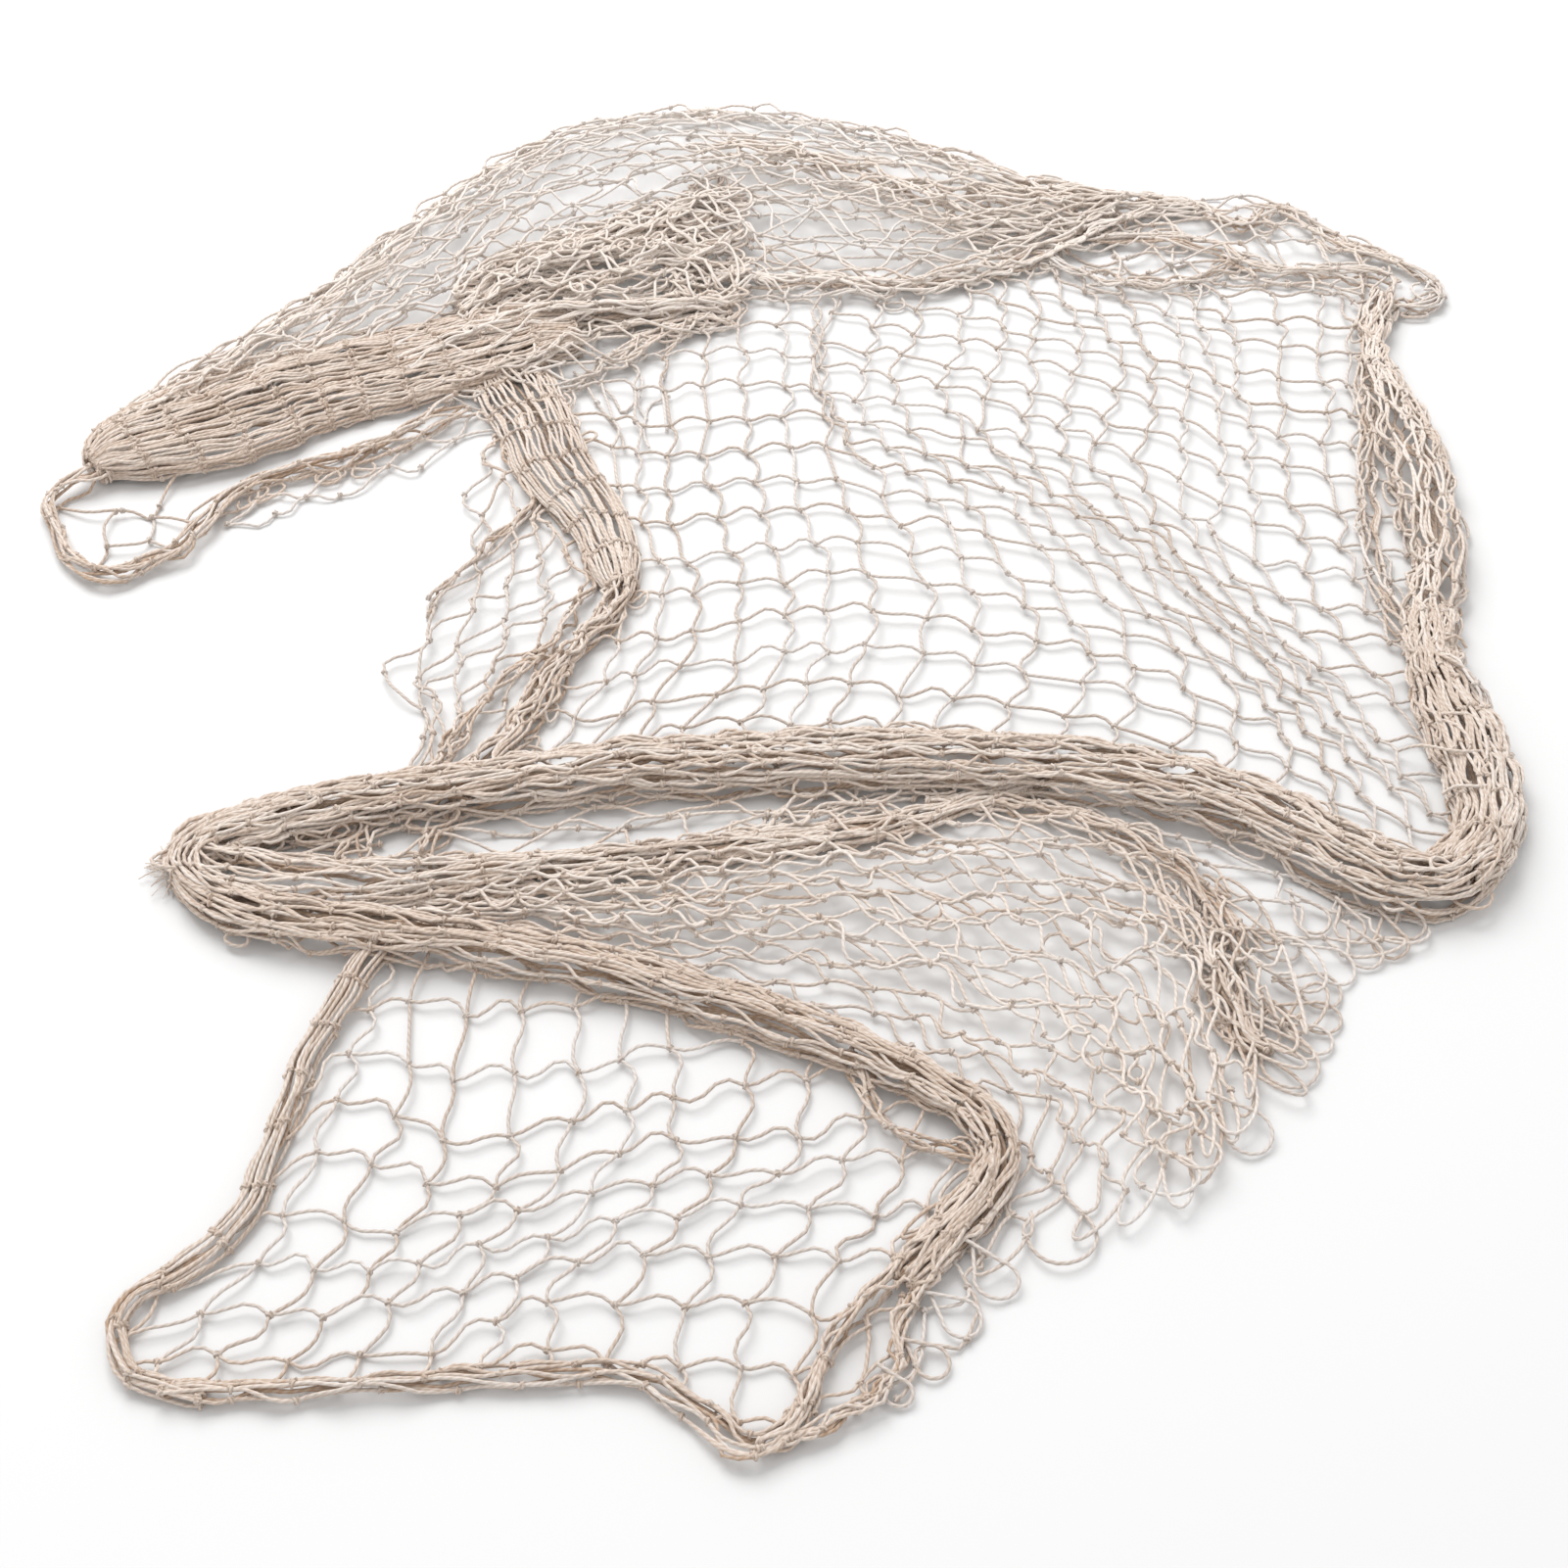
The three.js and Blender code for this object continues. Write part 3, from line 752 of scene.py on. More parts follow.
upperFan = sheet(  # back layer, front layer, and one out of the heap towards the right-hand end
    [-334, 213, -330, 208, -326, 204, -320, 198, 6], [-304, 262, -298, 252, -290, 242, -280, 228, 8],
    [-242, 340, -238, 318, -230, 295, -220, 272, 8], [-196, 410, -190, 378, -178, 345, -160, 312, 10],
    [-128, 492, -126, 448, -122, 404, -118, 356, 12], [-50, 516, -50, 468, -52, 420, -56, 366, 12],
    [20, 504, 16, 456, 10, 408, 2, 352, 10], [70, 484, 68, 440, 66, 396, 64, 346, 8],
    [130, 450, 128, 424, 126, 398, 124, 364, 6], [176, 431, 176, 424, 175, 415, 173, 406, 3],
    layers=[
        dict(rows=21, seed=31, slip=3.5, cross=0.3, roam=0.25, wander=0.5, swell=2, bulge=2, skew=1.7,
             crowd=-0.12),
        dict(rows=17, level=3, seed=32, slip=4, cross=0.35, roam=0.35, lift=1.2, wander=0.8, swell=3,
             bulge=2.3, skew=1.8, crowd=-0.06),
        dict(rows=10, level=1.5, window=(0.55, 0.32, 1, 1), seed=114, slip=3, cross=0.3, roam=0.3,
             wander=0.5, swell=2.5, bulge=2, skew=1.7),
    ],
)
fanNeck = bundle(  # fan drawn together into the far strand
    [98, 414, 58, 4], [130, 415, 46, 8], [155, 417, 34, 10], [178, 419, 24, 10], [200, 421, 14, 8],
    [222, 418, 8, 5],
    rows=17, seed=113, slip=3, cross=0.6, roam=0.6, swell=1.5, bulge=1.4, skew=1.4,
    loops=[dict(seed=115, count=8, reach=8, half=7, side=1, start=0.4)],
)
topHem = bundle(  # row of small loops along the far edge
    [-304, 260, 4, 5], [-242, 338, 4, 6], [-196, 407, 4, 6], [-128, 488, 5, 7], [-50, 512, 5, 7],
    [20, 500, 5, 7], [70, 481, 5, 6], [130, 448, 5, 6], [178, 432, 6, 6],
    rows=3, seed=37, slip=3, cross=0.4, roam=0.3, bulge=1.4,
    loops=[dict(seed=38, count=24, reach=5, half=8)],
)
bandEdge = bundle(
    [-34, 358, 18, 8], [0, 349, 16, 8], [35, 345, 16, 8], [65, 346, 14, 7], [95, 356, 13, 7],
    [125, 370, 13, 7], [152, 384, 15, 8], [180, 402, 18, 9],
    rows=11, seed=61, cross=0.8, swell=1.5, bulge=1.6, skew=1.4,
    loops=[dict(seed=63, count=10, reach=7, half=9)],
)
bandStrip = bundle(
    [-30, 470, 10, 14], [0, 456, 12, 15], [30, 446, 14, 15], [55, 433, 16, 14], [80, 415, 16, 13],
    [105, 400, 18, 12], [135, 393, 18, 10],
    rows=9, seed=62, slip=3, cross=0.7, swell=2, bulge=1.3,
)

net = Netting()
laySheets(net, upperFan)
layBundles(net, topHem, bandEdge, bandStrip, fanNeck)
makePiece("netUpperFan", net, tintSeed=1, paintedLightAndShade=0.45)


# band of pleats, its hairpin turn at the tail and the tail's loop

pleatBand = bundle(
    [-328, 199, 16, 12], [-318, 208, 38, 16], [-300, 220, 58, 16], [-267, 238, 68, 14], [-230, 262, 62, 12],
    [-185, 281, 60, 11], [-150, 295, 58, 12], [-126, 304, 48, 12], [-106, 310, 34, 9],
    rows=66, share=0.78, seed=33, slip=1.5, cross=0.4, roam=0.5, wander=0.4, lift=0.7, swell=1.5, bulge=0.7,
    bow=0.7, skew=1, pleat=True,
    loops=[dict(seed=99, count=10, reach=7, half=7, spread=0.9)],
)
tailTurn = bundle(
    [-298, 244, 10, 13], [-314, 233, 13, 16], [-326, 219, 12, 15], [-331, 208, 10, 13], [-325, 199, 8, 10],
    rows=11, seed=39, slip=1.5, cross=0.5, bulge=0.7, skew=0.8,
)
tailLoop = bundle(
    [-322, 197, 13, 12], [-333, 190, 12, 10], [-342, 181, 9, 8], [-344, 171, 8, 7], [-336, 153, 8, 7],
    [-326, 136, 9, 7], [-313, 126, 9, 7], [-301, 127, 10, 7], [-290, 136, 10, 7], [-279, 144, 11, 7],
    [-273, 156, 12, 7], [-264, 171, 11, 7], [-256, 185, 11, 7], [-245, 195, 11, 7], [-228, 202, 11, 8],
    [-209, 208, 12, 8], [-190, 218, 13, 8], [-176, 233, 15, 9], [-158, 249, 17, 10],
    rows=11, seed=35, slip=3, cross=0.7, bulge=0.7, skew=0.7,
    loops=[dict(seed=36, count=5, reach=7, half=9, side=-1, start=0.6)],
)
tailCords = dict(
    seed=64, high=4,
    cords=[
        [(-341, 176), (-325, 170), (-313, 171), (-304, 172), (-296, 169), (-293, 182), (-290, 192),
         (-285, 206)],
        [(-313, 171), (-316, 158), (-312, 145), (-316, 133)],
        [(-312, 146), (-299, 147), (-294, 152), (-294, 164), (-296, 169)],
        [(-294, 152), (-284, 148), (-279, 144)],
        [(-296, 169), (-286, 166), (-274, 161)],
        [(-274, 160), (-279, 168), (-271, 177), (-262, 186), (-254, 196)],
    ],
)
tailFringe = sheet(
    [-270, 168, -258, 162, 0], [-250, 190, -238, 172, 1], [-225, 204, -212, 184, 1],
    [-200, 215, -188, 194, 1], [-178, 233, -165, 212, 1], [-150, 252, -138, 232, 0],
    layers=[dict(rows=3, seed=65, slip=2, cross=0.12, roam=0.1, wander=0.1, bulge=1.6)],
)
neckWraps = dict(x=-321, y=199, turns=2, pitch=2, wide=13, high=11, heading=214)


def wrapNeck(net, values):  # turns of cord that draw the tail together
    way = math.radians(values["heading"])
    axis = np.array([math.cos(way), math.sin(way)])
    t = np.linspace(0.0, values["turns"], values["turns"] * 14)
    across = np.array([-axis[1], axis[0]]) * (values["wide"] / 2 * np.cos(math.tau * t))[:, None]
    flat = [values["x"], values["y"]] + axis * (values["pitch"] * t)[:, None] + across
    net.addRaised(flat, values["high"] / 2 * (1.0 + np.sin(math.tau * t)), values["turns"] * 2)


net = Netting()
layBundles(net, pleatBand, tailTurn, tailLoop)
laySheets(net, tailFringe)
looseCords(net, tailCords)
wrapNeck(net, neckWraps)
makePiece("netPleats", net, tintSeed=2, paintedLightAndShade=-0.3)


# crumpled heap

heapSheet = sheet(
    [-170, 336, -166, 326, -162, 314, -158, 296, 5], [-146, 372, -142, 352, -138, 332, -132, 308, 9],
    [-112, 390, -110, 366, -106, 342, -102, 316, 10], [-80, 412, -78, 382, -74, 350, -68, 322, 10],
    [-50, 432, -48, 396, -46, 360, -42, 328, 8], [-30, 430, -30, 398, -28, 364, -24, 334, 4],
    layers=[
        dict(rows=30, seed=41, slip=4, cross=0.7, roam=0.8, wander=0.7, swell=3, bulge=2.2, skew=1.6,
             loop=0.4, stretch=0.85),
        dict(rows=22, level=1.5, seed=118, slip=3, cross=0.6, roam=0.6, wander=0.6, swell=3, bulge=2,
             skew=1.6, loop=0.4, stretch=0.88),
        dict(rows=26, level=3, seed=48, slip=4, cross=0.8, roam=1, wander=1.2, swell=4, bulge=2, skew=1.8,
             loop=0.4, stretch=0.85),
        dict(rows=18, level=5, seed=103, slip=4, cross=0.8, roam=1.1, wander=1.4, swell=4.5, bulge=2.2,
             skew=2, lift=1.6, loop=0.5, stretch=0.85),
    ],
)
heapFoot = sheet(
    [-176, 286, -170, 270, -164, 252, 4], [-142, 302, -134, 277, -126, 252, 6],
    [-115, 312, -105, 291, -94, 271, 6], [-90, 318, -80, 304, -70, 289, 5],
    [-62, 323, -55, 314, -48, 304, 4], [-36, 329, -32, 325, -28, 320, 2],
    layers=[
        dict(rows=13, seed=43, slip=4, cross=0.8, roam=0.9, wander=0.9, swell=2, bulge=2.2, skew=1.8,
             loop=0.4),
        dict(rows=9, level=2.5, seed=104, slip=4, cross=0.9, roam=1, wander=1.2, swell=3, bulge=2.6, skew=2,
             loop=0.4),
    ],
)
heapRidge = bundle(
    [-192, 280, 40, 11], [-157, 291, 34, 14], [-141, 301, 26, 16], [-125, 311, 18, 17], [-109, 316, 14, 16],
    [-92, 318, 13, 15], [-75, 320, 13, 14], [-58, 322, 13, 13], [-41, 325, 11, 11], [-27, 327, 7, 8],
    rows=19, seed=105, slip=3, cross=0.6, roam=0.7, bulge=0.6, skew=0.6,
    loops=[dict(seed=34, count=12, reach=9, half=4, start=0.86, end=1)],
)
heapSpine = bundle(
    [-40, 454, 14, 6], [-42, 430, 20, 10], [-50, 405, 24, 14], [-54, 380, 26, 16], [-50, 354, 24, 14],
    [-44, 334, 16, 10],
    rows=11, seed=106, slip=4, cross=1, roam=1, bulge=2.4, skew=1.6,
    loops=[dict(seed=42, count=14, reach=10, half=7, spread=1)],
)
heapLoops = bundle(
    [-160, 326, 30, 14], [-128, 345, 60, 22], [-92, 356, 66, 24], [-50, 372, 70, 20],
    loops=[dict(seed=47, count=16, reach=11, half=7, spread=0.85)],
)
heapHang = dict(  # slack cords between the heap's foot and the panel
    seed=110, high=3, endKnots=False,
    cords=[
        [(-105, 280), (-99, 269), (-92, 254), (-80, 233), (-77, 218)],
        [(-84, 297), (-77, 286), (-70, 269), (-72, 254), (-67, 243)],
        [(-56, 259), (-66, 254), (-68, 240), (-68, 228), (-65, 218)],
        [(-61, 312), (-59, 302), (-59, 283), (-61, 268), (-59, 254), (-57, 233)],
        [(-100, 282), (-93, 269), (-84, 259), (-79, 248), (-71, 259)],
    ],
)

net = Netting()
laySheets(net, heapSheet, heapFoot)
layBundles(net, heapRidge, heapSpine, heapLoops)
looseCords(net, heapHang)
makePiece("netHeap", net, tintSeed=3, paintedLightAndShade=0.3)


# strands that edge the centre panel, among them the falling pleats and the cross bundle

pleatFall = bundle(
    [-142, 288, 38, 5], [-133, 264, 42, 8], [-119, 230, 38, 12], [-111, 206, 37, 12], [-103, 189, 35, 11],
    [-91, 171, 31, 11], [-83, 152, 28, 10], [-77, 132, 24, 10], [-74, 118, 16, 9],
    rows=28, share=0.82, seed=44, slip=0.9, cross=0.3, roam=0.4, wander=0.6, lift=0.5, bulge=0.4, bow=0.7,
    skew=0.5, pleat=True,
    loops=[dict(seed=112, count=14, reach=9, half=5, spread=0.95, start=0.1, end=0.32)],
)
mainStrand = bundle(
    [-76, 140, 14, 9], [-73, 118, 12, 9], [-80, 100, 11, 8], [-89, 82, 12, 8], [-97, 67, 12, 8],
    [-107, 44, 14, 8], [-113, 32, 15, 8], [-119, 19, 15, 8], [-127, 4, 16, 8], [-134, -8, 18, 8],
    rows=18, seed=45, slip=4, cross=0.9, roam=1.2, bulge=1.3, skew=1.4, stretch=0.84,
    loops=[dict(seed=50, count=5, reach=6, half=7)],
)
thinStrand = bundle(
    [-90, 142, 8, 7], [-88, 122, 6, 5], [-93, 105, 6, 5], [-100, 88, 6, 5], [-107, 73, 8, 6],
    rows=4, seed=66, cross=0.3, roam=0.3,
)
secondStrand = bundle(
    [-104, 76, 6, 5], [-117, 63, 8, 5], [-127, 43, 8, 5], [-138, 22, 9, 6], [-145, 9, 8, 6],
    [-151, -8, 9, 6],
    rows=6, seed=67, slip=3.5, cross=0.6, roam=0.7, bulge=1.6, skew=1.6, stretch=0.8,
)
flapEdge = bundle(
    [-136, 228, 3, 4], [-130, 202, 3, 4], [-120, 186, 4, 5], [-119, 172, 4, 5], [-131, 156, 5, 5],
    [-141, 138, 5, 5], [-150, 124, 5, 5], [-158, 114, 5, 5], [-161, 102, 4, 4],
    rows=4, seed=68, slip=2.5, cross=0.4, roam=0.3, skew=1.4,
)
rightLine = [
    [307, 336, 13, 9], [301, 316, 15, 10], [296, 297, 11, 10], [294, 270, 20, 13], [297, 235, 29, 14],
    [300, 205, 30, 15], [300, 165, 27, 15], [299, 130, 24, 14], [289, 98, 23, 13], [284, 65, 23, 14],
    [288, 30, 32, 16], [291, -5, 32, 17], [288, -34, 28, 17], [270, -58, 27, 16],
]
upperRight = bundle(
    *rightLine[:10],
    rows=33, seed=52, slip=4.5, cross=0.8, roam=0.9, lift=1, bulge=1.6, skew=1.4, stretch=0.86,
    loops=[dict(seed=53, count=12, reach=5, half=8)],
)
lowerRight = bundle(
    *rightLine[8:],
    rows=60, seed=109, slip=3, cross=0.5, roam=0.6, wander=0.5, bulge=1, skew=1,
)
sideStrand = bundle(
    [287, 248, 9, 7], [275, 190, 9, 6], [270, 132, 10, 6], [277, 84, 11, 9], [287, 60, 11, 16],
    [297, 40, 9, 16], [300, 22, 6, 6],
    rows=7, seed=54, slip=1.5, cross=0.4, pleat=True,
)
topStrand = bundle(
    [156, 393, 18, 7], [186, 406, 14, 7], [206, 420, 13, 7], [221, 418, 12, 7], [238, 401, 11, 6],
    [250, 404, 10, 6], [262, 420, 10, 6], [272, 416, 9, 6], [282, 400, 8, 6], [296, 386, 8, 6],
    [314, 374, 8, 6], [330, 357, 8, 6], [337, 341, 8, 6], [328, 332, 9, 6], [311, 332, 11, 7],
    rows=7, seed=55, slip=3.5, cross=0.8, roam=0.6, swell=1.5, bulge=1.4,
    loops=[dict(seed=56, count=12, reach=7, half=8)],
)
cornerStrand = bundle(
    [155, 387, 14, 7], [197, 389, 11, 6], [217, 387, 10, 6], [236, 374, 10, 6], [255, 361, 11, 6],
    [275, 358, 11, 6], [296, 357, 10, 6], [310, 350, 10, 7], [306, 332, 12, 8],
    rows=7, seed=57, slip=3, cross=0.8, swell=1.5, bulge=1.3,
    loops=[dict(seed=58, count=9, reach=7, half=8)],
)
topEdgeStrand = bundle(
    [138, 374, 10, 6], [153, 361, 12, 6], [166, 354, 12, 6], [180, 348, 12, 6], [194, 345, 10, 5],
    [206, 352, 8, 5], [218, 357, 8, 5], [238, 368, 8, 6],
    rows=6, seed=59, slip=3, cross=0.8, swell=1.5, bulge=1.4,
    loops=[dict(seed=60, count=10, reach=8, half=8)],
)
crossBundle = bundle(
    [284, -48, 26, 16], [258, -63, 29, 17], [228, -50, 32, 18], [192, -22, 32, 18], [150, -6, 32, 18],
    [105, 3, 30, 18], [50, 6, 29, 18], [0, 5, 29, 18], [-60, 1, 28, 18], [-115, -8, 26, 17],
    [-165, -16, 24, 16], [-205, -26, 23, 15], [-236, -39, 22, 13], [-250, -50, 12, 8],
    rows=46, seed=71, slip=4, cross=0.75, roam=0.8, wander=0.7, bulge=1.2, skew=1.1,
    loops=[
        dict(seed=72, count=22, reach=6, half=10),
        dict(seed=116, count=10, reach=9, half=8, spread=0.8, start=0.82, end=0.97),
        dict(seed=117, count=14, reach=11, half=7, spread=0.85, end=0.22),
    ],
)


# centre panel with the falling pleats and the flap beside them

flapTop = sheet(
    [-137, 231, -151, 211, -149, 192, -155, 170, -142, 144, 2],
    [-131, 232, -129, 212, -125, 194, -119, 180, -130, 156, 2],
    alongLines=True,
    layers=[dict(rows=3, seed=108, slip=1.5, cross=0.1, roam=0.1, wander=0.1, swell=1.5, bulge=1.4,
                 skew=2.2, middle=0.4)],
)
sideFlap = sheet(
    [-119, 184, -132, 154, -150, 122, -163, 88, -175, 58, -155, 34, -158, 2, 2],
    [-117, 183, -116, 153, -120, 120, -134, 87, -150, 59, -145, 33, -152, 1, 3],
    [-115, 182, -99, 152, -90, 120, -104, 86, -122, 60, -132, 32, -146, 0, 2],
    alongLines=True,
    layers=[dict(rows=7, seed=46, slip=2, cross=0.12, roam=0.1, wander=0.15, swell=2, bulge=1.4, skew=2.2,
                 middle=0.4)],
)
centrePanel = panel(
    [-4, -175, 465, -160, 378, -134, 290, -110, 196, -108, 80, -152, -12],
    [-2, -130, 470, -112, 380, -94, 287, -80, 192, -72, 82, -112, -6],
    [0, -75, 475, -62, 382, -58, 284, -55, 188, -41, 91, -72, 0],
    [2, -28, 470, -24, 380, -22, 291, -14, 192, 0, 100, -24, 8],
    [4, 18, 462, 22, 376, 14, 290, 25, 195, 40, 103, 12, 10],
    [5, 40, 440, 28, 350, 18, 262, 48, 182, 64, 98, 35, 8],
    [6, 60, 435, 48, 337, 35, 255, 68, 181, 87, 91, 55, 5],
    [8, 100, 415, 89, 322, 77, 246, 109, 165, 133, 76, 105, 2],
    [10, 128, 392, 128, 302, 115, 225, 145, 145, 176, 55, 150, -10],
    [12, 150, 368, 167, 283, 148, 201, 183, 113, 214, 25, 185, -45],
    [14, 195, 345, 199, 262, 185, 170, 215, 77, 243, -10, 230, -90],
    [16, 227, 320, 225, 233, 219, 138, 245, 45, 275, -40, 280, -130],
    [18, 273, 315, 260, 222, 258, 125, 285, 40, 320, -50, 330, -140],
    [20, 300, 310, 290, 215, 292, 118, 318, 35, 350, -60, 360, -150],
    meshes=20, seed=51, jitter=1.5, hover=1.2, swell=2.6, rise=1.2,
    rows=(0.985, 1, -1.5), columns=(0.96, 1, 1.1),  # slack, bow and bend of the bars each way
)
centreOutline = outlineOf(
    (bandEdge, 0.0, 0.72), (topEdgeStrand, 0.1, 0.75), (cornerStrand, 0.45, 0.95),
    (bundle(*rightLine), 0.1, 1.0), (crossBundle, 0.0, 0.72), (mainStrand, 1.0, 0.1), (pleatFall, 0.9, 0.05),
    (heapRidge, 0.3, 1.0),
)

net = Netting()
layBundles(net, pleatFall, mainStrand, thinStrand, secondStrand, flapEdge)
laySheets(net, flapTop, sideFlap)
layPanel(net, centrePanel, centreOutline)
makePiece("netCentre", net, tintSeed=4, paintedLightAndShade=-0.25)


# far corner with the upper half of the right-hand side

cornerCords = dict(
    seed=69, high=6,
    cords=[
        [(150, 380), (165, 370), (180, 372), (195, 375), (203, 368), (215, 373), (232, 368)],
        [(262, 355), (275, 347), (283, 338)],
        [(200, 415), (205, 403), (207, 392)],
        [(224, 425), (228, 404), (238, 377)],
        [(243, 410), (250, 392), (262, 368)],
        [(284, 411), (281, 390), (285, 366)],
        [(302, 386), (299, 372), (302, 361)],
        [(172, 392), (176, 372), (173, 352)],
        [(206, 390), (204, 370), (206, 348)],
        [(236, 374), (243, 362), (244, 353)],
        [(270, 366), (274, 352), (272, 341)],
        [(303, 358), (297, 335), (290, 312)],
    ],
)
cornerNet = sheet(
    [178, 432, 178, 415, 176, 398, 170, 372, 2], [225, 430, 222, 412, 215, 392, 206, 356, 4],
    [262, 430, 258, 410, 250, 382, 244, 352, 4], [300, 392, 292, 384, 282, 370, 272, 342, 3],
    [330, 372, 318, 366, 308, 356, 292, 318, 2],
    layers=[dict(rows=9, seed=88, slip=3, cross=0.25, roam=0.2, wander=0.4, swell=3, bulge=1.8, skew=1.4)],
)

net = Netting()
layBundles(net, upperRight, sideStrand, topStrand, cornerStrand, topEdgeStrand)
laySheets(net, cornerNet)
looseCords(net, cornerCords)
makePiece("netFarCorner", net, tintSeed=5, paintedLightAndShade=0.2)


# cross bundle, the beak where it turns, the thin net in the fold and the lower half of the right-hand side

beakTurn = bundle(
    [-196, -24, 16, 14], [-226, -34, 18, 15], [-241, -49, 18, 14], [-230, -66, 18, 14], [-200, -80, 18, 14],
    rows=22, seed=73, slip=3, cross=0.6, bulge=0.8, skew=0.8,
)
middleBand = bundle(
    [-242, -50, 20, 12], [-222, -57, 28, 15], [-200, -62, 30, 15], [-172, -63, 28, 13], [-140, -59, 22, 11],
    [-100, -51, 18, 9], [-40, -42, 14, 7], [20, -32, 13, 6], [65, -20, 12, 6], [110, -2, 8, 5],
    rows=25, seed=74, slip=3, cross=0.5, roam=0.6, wander=0.6, bulge=0.9, skew=0.8,
    loops=[dict(seed=75, count=8, reach=8, half=10, side=1)],
)
foldSheet = sheet(
    [-232, -32, -228, -48, 2], [-180, -20, -180, -54, 2], [-130, -14, -130, -54, 3], [-80, -8, -80, -48, 3],
    [-30, -4, -30, -42, 3], [20, -2, 20, -34, 3], [60, 0, 60, -26, 2],
    layers=[dict(rows=4, seed=77, slip=3, cross=0.2, roam=0.15, wander=0.2, bulge=1.6)],
)
foldStrands = [
    bundle([-166, -8, 14, 7], [-171, -28, 13, 6], [-178, -48, 12, 6], rows=6, seed=78, cross=0.3, roam=0.3),
    bundle([-139, -8, 14, 7], [-143, -28, 12, 6], [-149, -46, 11, 6], rows=6, seed=79, cross=0.3, roam=0.3),
]
foldCords = dict(
    seed=80, high=4,
    cords=[
        [(-155, -28), (-120, -30), (-85, -29), (-40, -22), (30, -12)],
        [(-232, -36), (-212, -35), (-190, -38), (-166, -36)],
        [(-228, -42), (-205, -42), (-182, -45), (-160, -44)],
    ],
)
sideCords = dict(  # the panel's cords that run on over the right-hand bundle
    seed=111, endKnots=False,
    cords=[
        [(260, 16, 3), (265, 14, 8), (270, 10, 13), (280, 2, 18), (293, 4, 16), (303, 12, 8)],
        [(273, -15, 10), (277, -16, 16), (284, -18, 18), (291, -16, 17), (298, -5, 14), (293, 4, 17)],
        [(275, 32, 9), (281, 26, 16), (291, 24, 17), (300, 16, 14), (304, 7, 10), (307, -4, 6)],
        [(276, 25, 10), (281, 22, 16), (286, 13, 18), (287, 6, 18)],
        [(286, 86, 5), (288, 73, 14), (295, 75, 15), (299, 71, 11)],
        [(284, 115, 7), (290, 104, 15), (294, 100, 13), (296, 91, 6)],
        [(275, -69, 15), (281, -64, 17), (288, -53, 17), (289, -42, 18), (285, -35, 18)],
    ],
)
frayedEnd = dict(x=-249, y=-49, high=7, count=34, long=11, thick=0.3, heading=185, seed=97,
                 fan=38, bend=0.22, spreadX=2, spreadY=4)  # chance in each fibre


def frayEnd(net, values):  # loose fibres where cut cords come undone
    rng = np.random.default_rng(values["seed"])
    for k in range(values["count"]):
        way = math.radians(values["heading"] + rng.normal(0.0, values["fan"]))
        t = np.linspace(0.0, 1.0, 5)
        long = values["long"] * rng.uniform(0.5, 1.2)
        bend = rng.normal(0.0, values["bend"]) * long * t ** 2
        x = values["x"] + rng.normal(0.0, values["spreadX"]) + math.cos(way) * long * t - math.sin(way) * bend
        y = values["y"] + rng.normal(0.0, values["spreadY"]) + math.sin(way) * long * t + math.cos(way) * bend
        up = values["high"] * rng.uniform(0.2, 1.0) * (1.0 - 0.6 * t)
        net.addCord(np.column_stack([x, y, up]), 0, values["thick"])


net = Netting()
layBundles(net, crossBundle, beakTurn, middleBand, *foldStrands, lowerRight)
looseCords(net, sideCords)
laySheets(net, foldSheet)
looseCords(net, foldCords)
frayEnd(net, frayedEnd)
makePiece("netCross", net, tintSeed=6, paintedLightAndShade=-0.1)


# lower fan with its curled edge

lowerFan = sheet(
    [-172, -64, -172, -70, -172, -76, -172, -84, 2], [-110, -46, -110, -60, -110, -74, -110, -88, 3],
    [-40, -34, -40, -56, -42, -82, -46, -106, 4], [20, -10, 20, -46, 18, -84, 14, -128, 5],
    [75, -4, 82, -56, 78, -110, 62, -160, 5], [122, -12, 130, -72, 116, -138, 80, -184, 4],
    [160, -50, 158, -104, 128, -166, 74, -210, 3], [188, -122, 172, -160, 134, -202, 62, -236, 2],
    layers=[
        dict(rows=24, seed=81, slip=2.4, cross=0.18, roam=0.18, wander=0.4, swell=1.5, bulge=2.8, skew=1.9,
             round=0.9, loop=0.85, stretch=0.88, parts=8),
        dict(rows=14, level=2, window=(0, 0, 1, 0.72), seed=82, slip=2.5, cross=0.2, roam=0.2, lift=1,
             wander=0.6, swell=2, bulge=3, skew=2, round=0.9, loop=0.7, stretch=0.88, parts=8),
    ],
)
curlBand = bundle(
    [60, -16, 8, 5], [90, -14, 11, 6], [114, -22, 13, 7], [135, -33, 14, 8], [156, -48, 14, 8],
    [169, -65, 13, 8], [177, -84, 13, 8], [173, -101, 14, 8], [173, -118, 13, 8], [177, -133, 10, 7],
    [184, -143, 6, 5],
    rows=8, seed=83, slip=2, cross=0.3, roam=0.35, swell=1.5, bulge=0.9, bow=1.1, skew=1.1, stretch=0.93,
    loops=[dict(seed=84, count=9, reach=6, half=6, start=0.2)],
)
curlNet = sheet(
    [150, -60, 164, -92, 172, -116, 182, -138, 3], [166, -62, 180, -90, 186, -112, 190, -136, 4],
    [180, -70, 194, -90, 200, -112, 197, -134, 3],
    layers=[
        dict(rows=6, seed=86, slip=1.8, cross=0.16, roam=0.15, wander=0.3, swell=2, bulge=1.2, skew=1,
             loop=0.7, stretch=0.95),
        dict(rows=4, level=3, seed=87, slip=1.8, cross=0.18, roam=0.2, wander=0.4, swell=2, bulge=1.2,
             skew=1, loop=0.8, stretch=0.95),
    ],
)
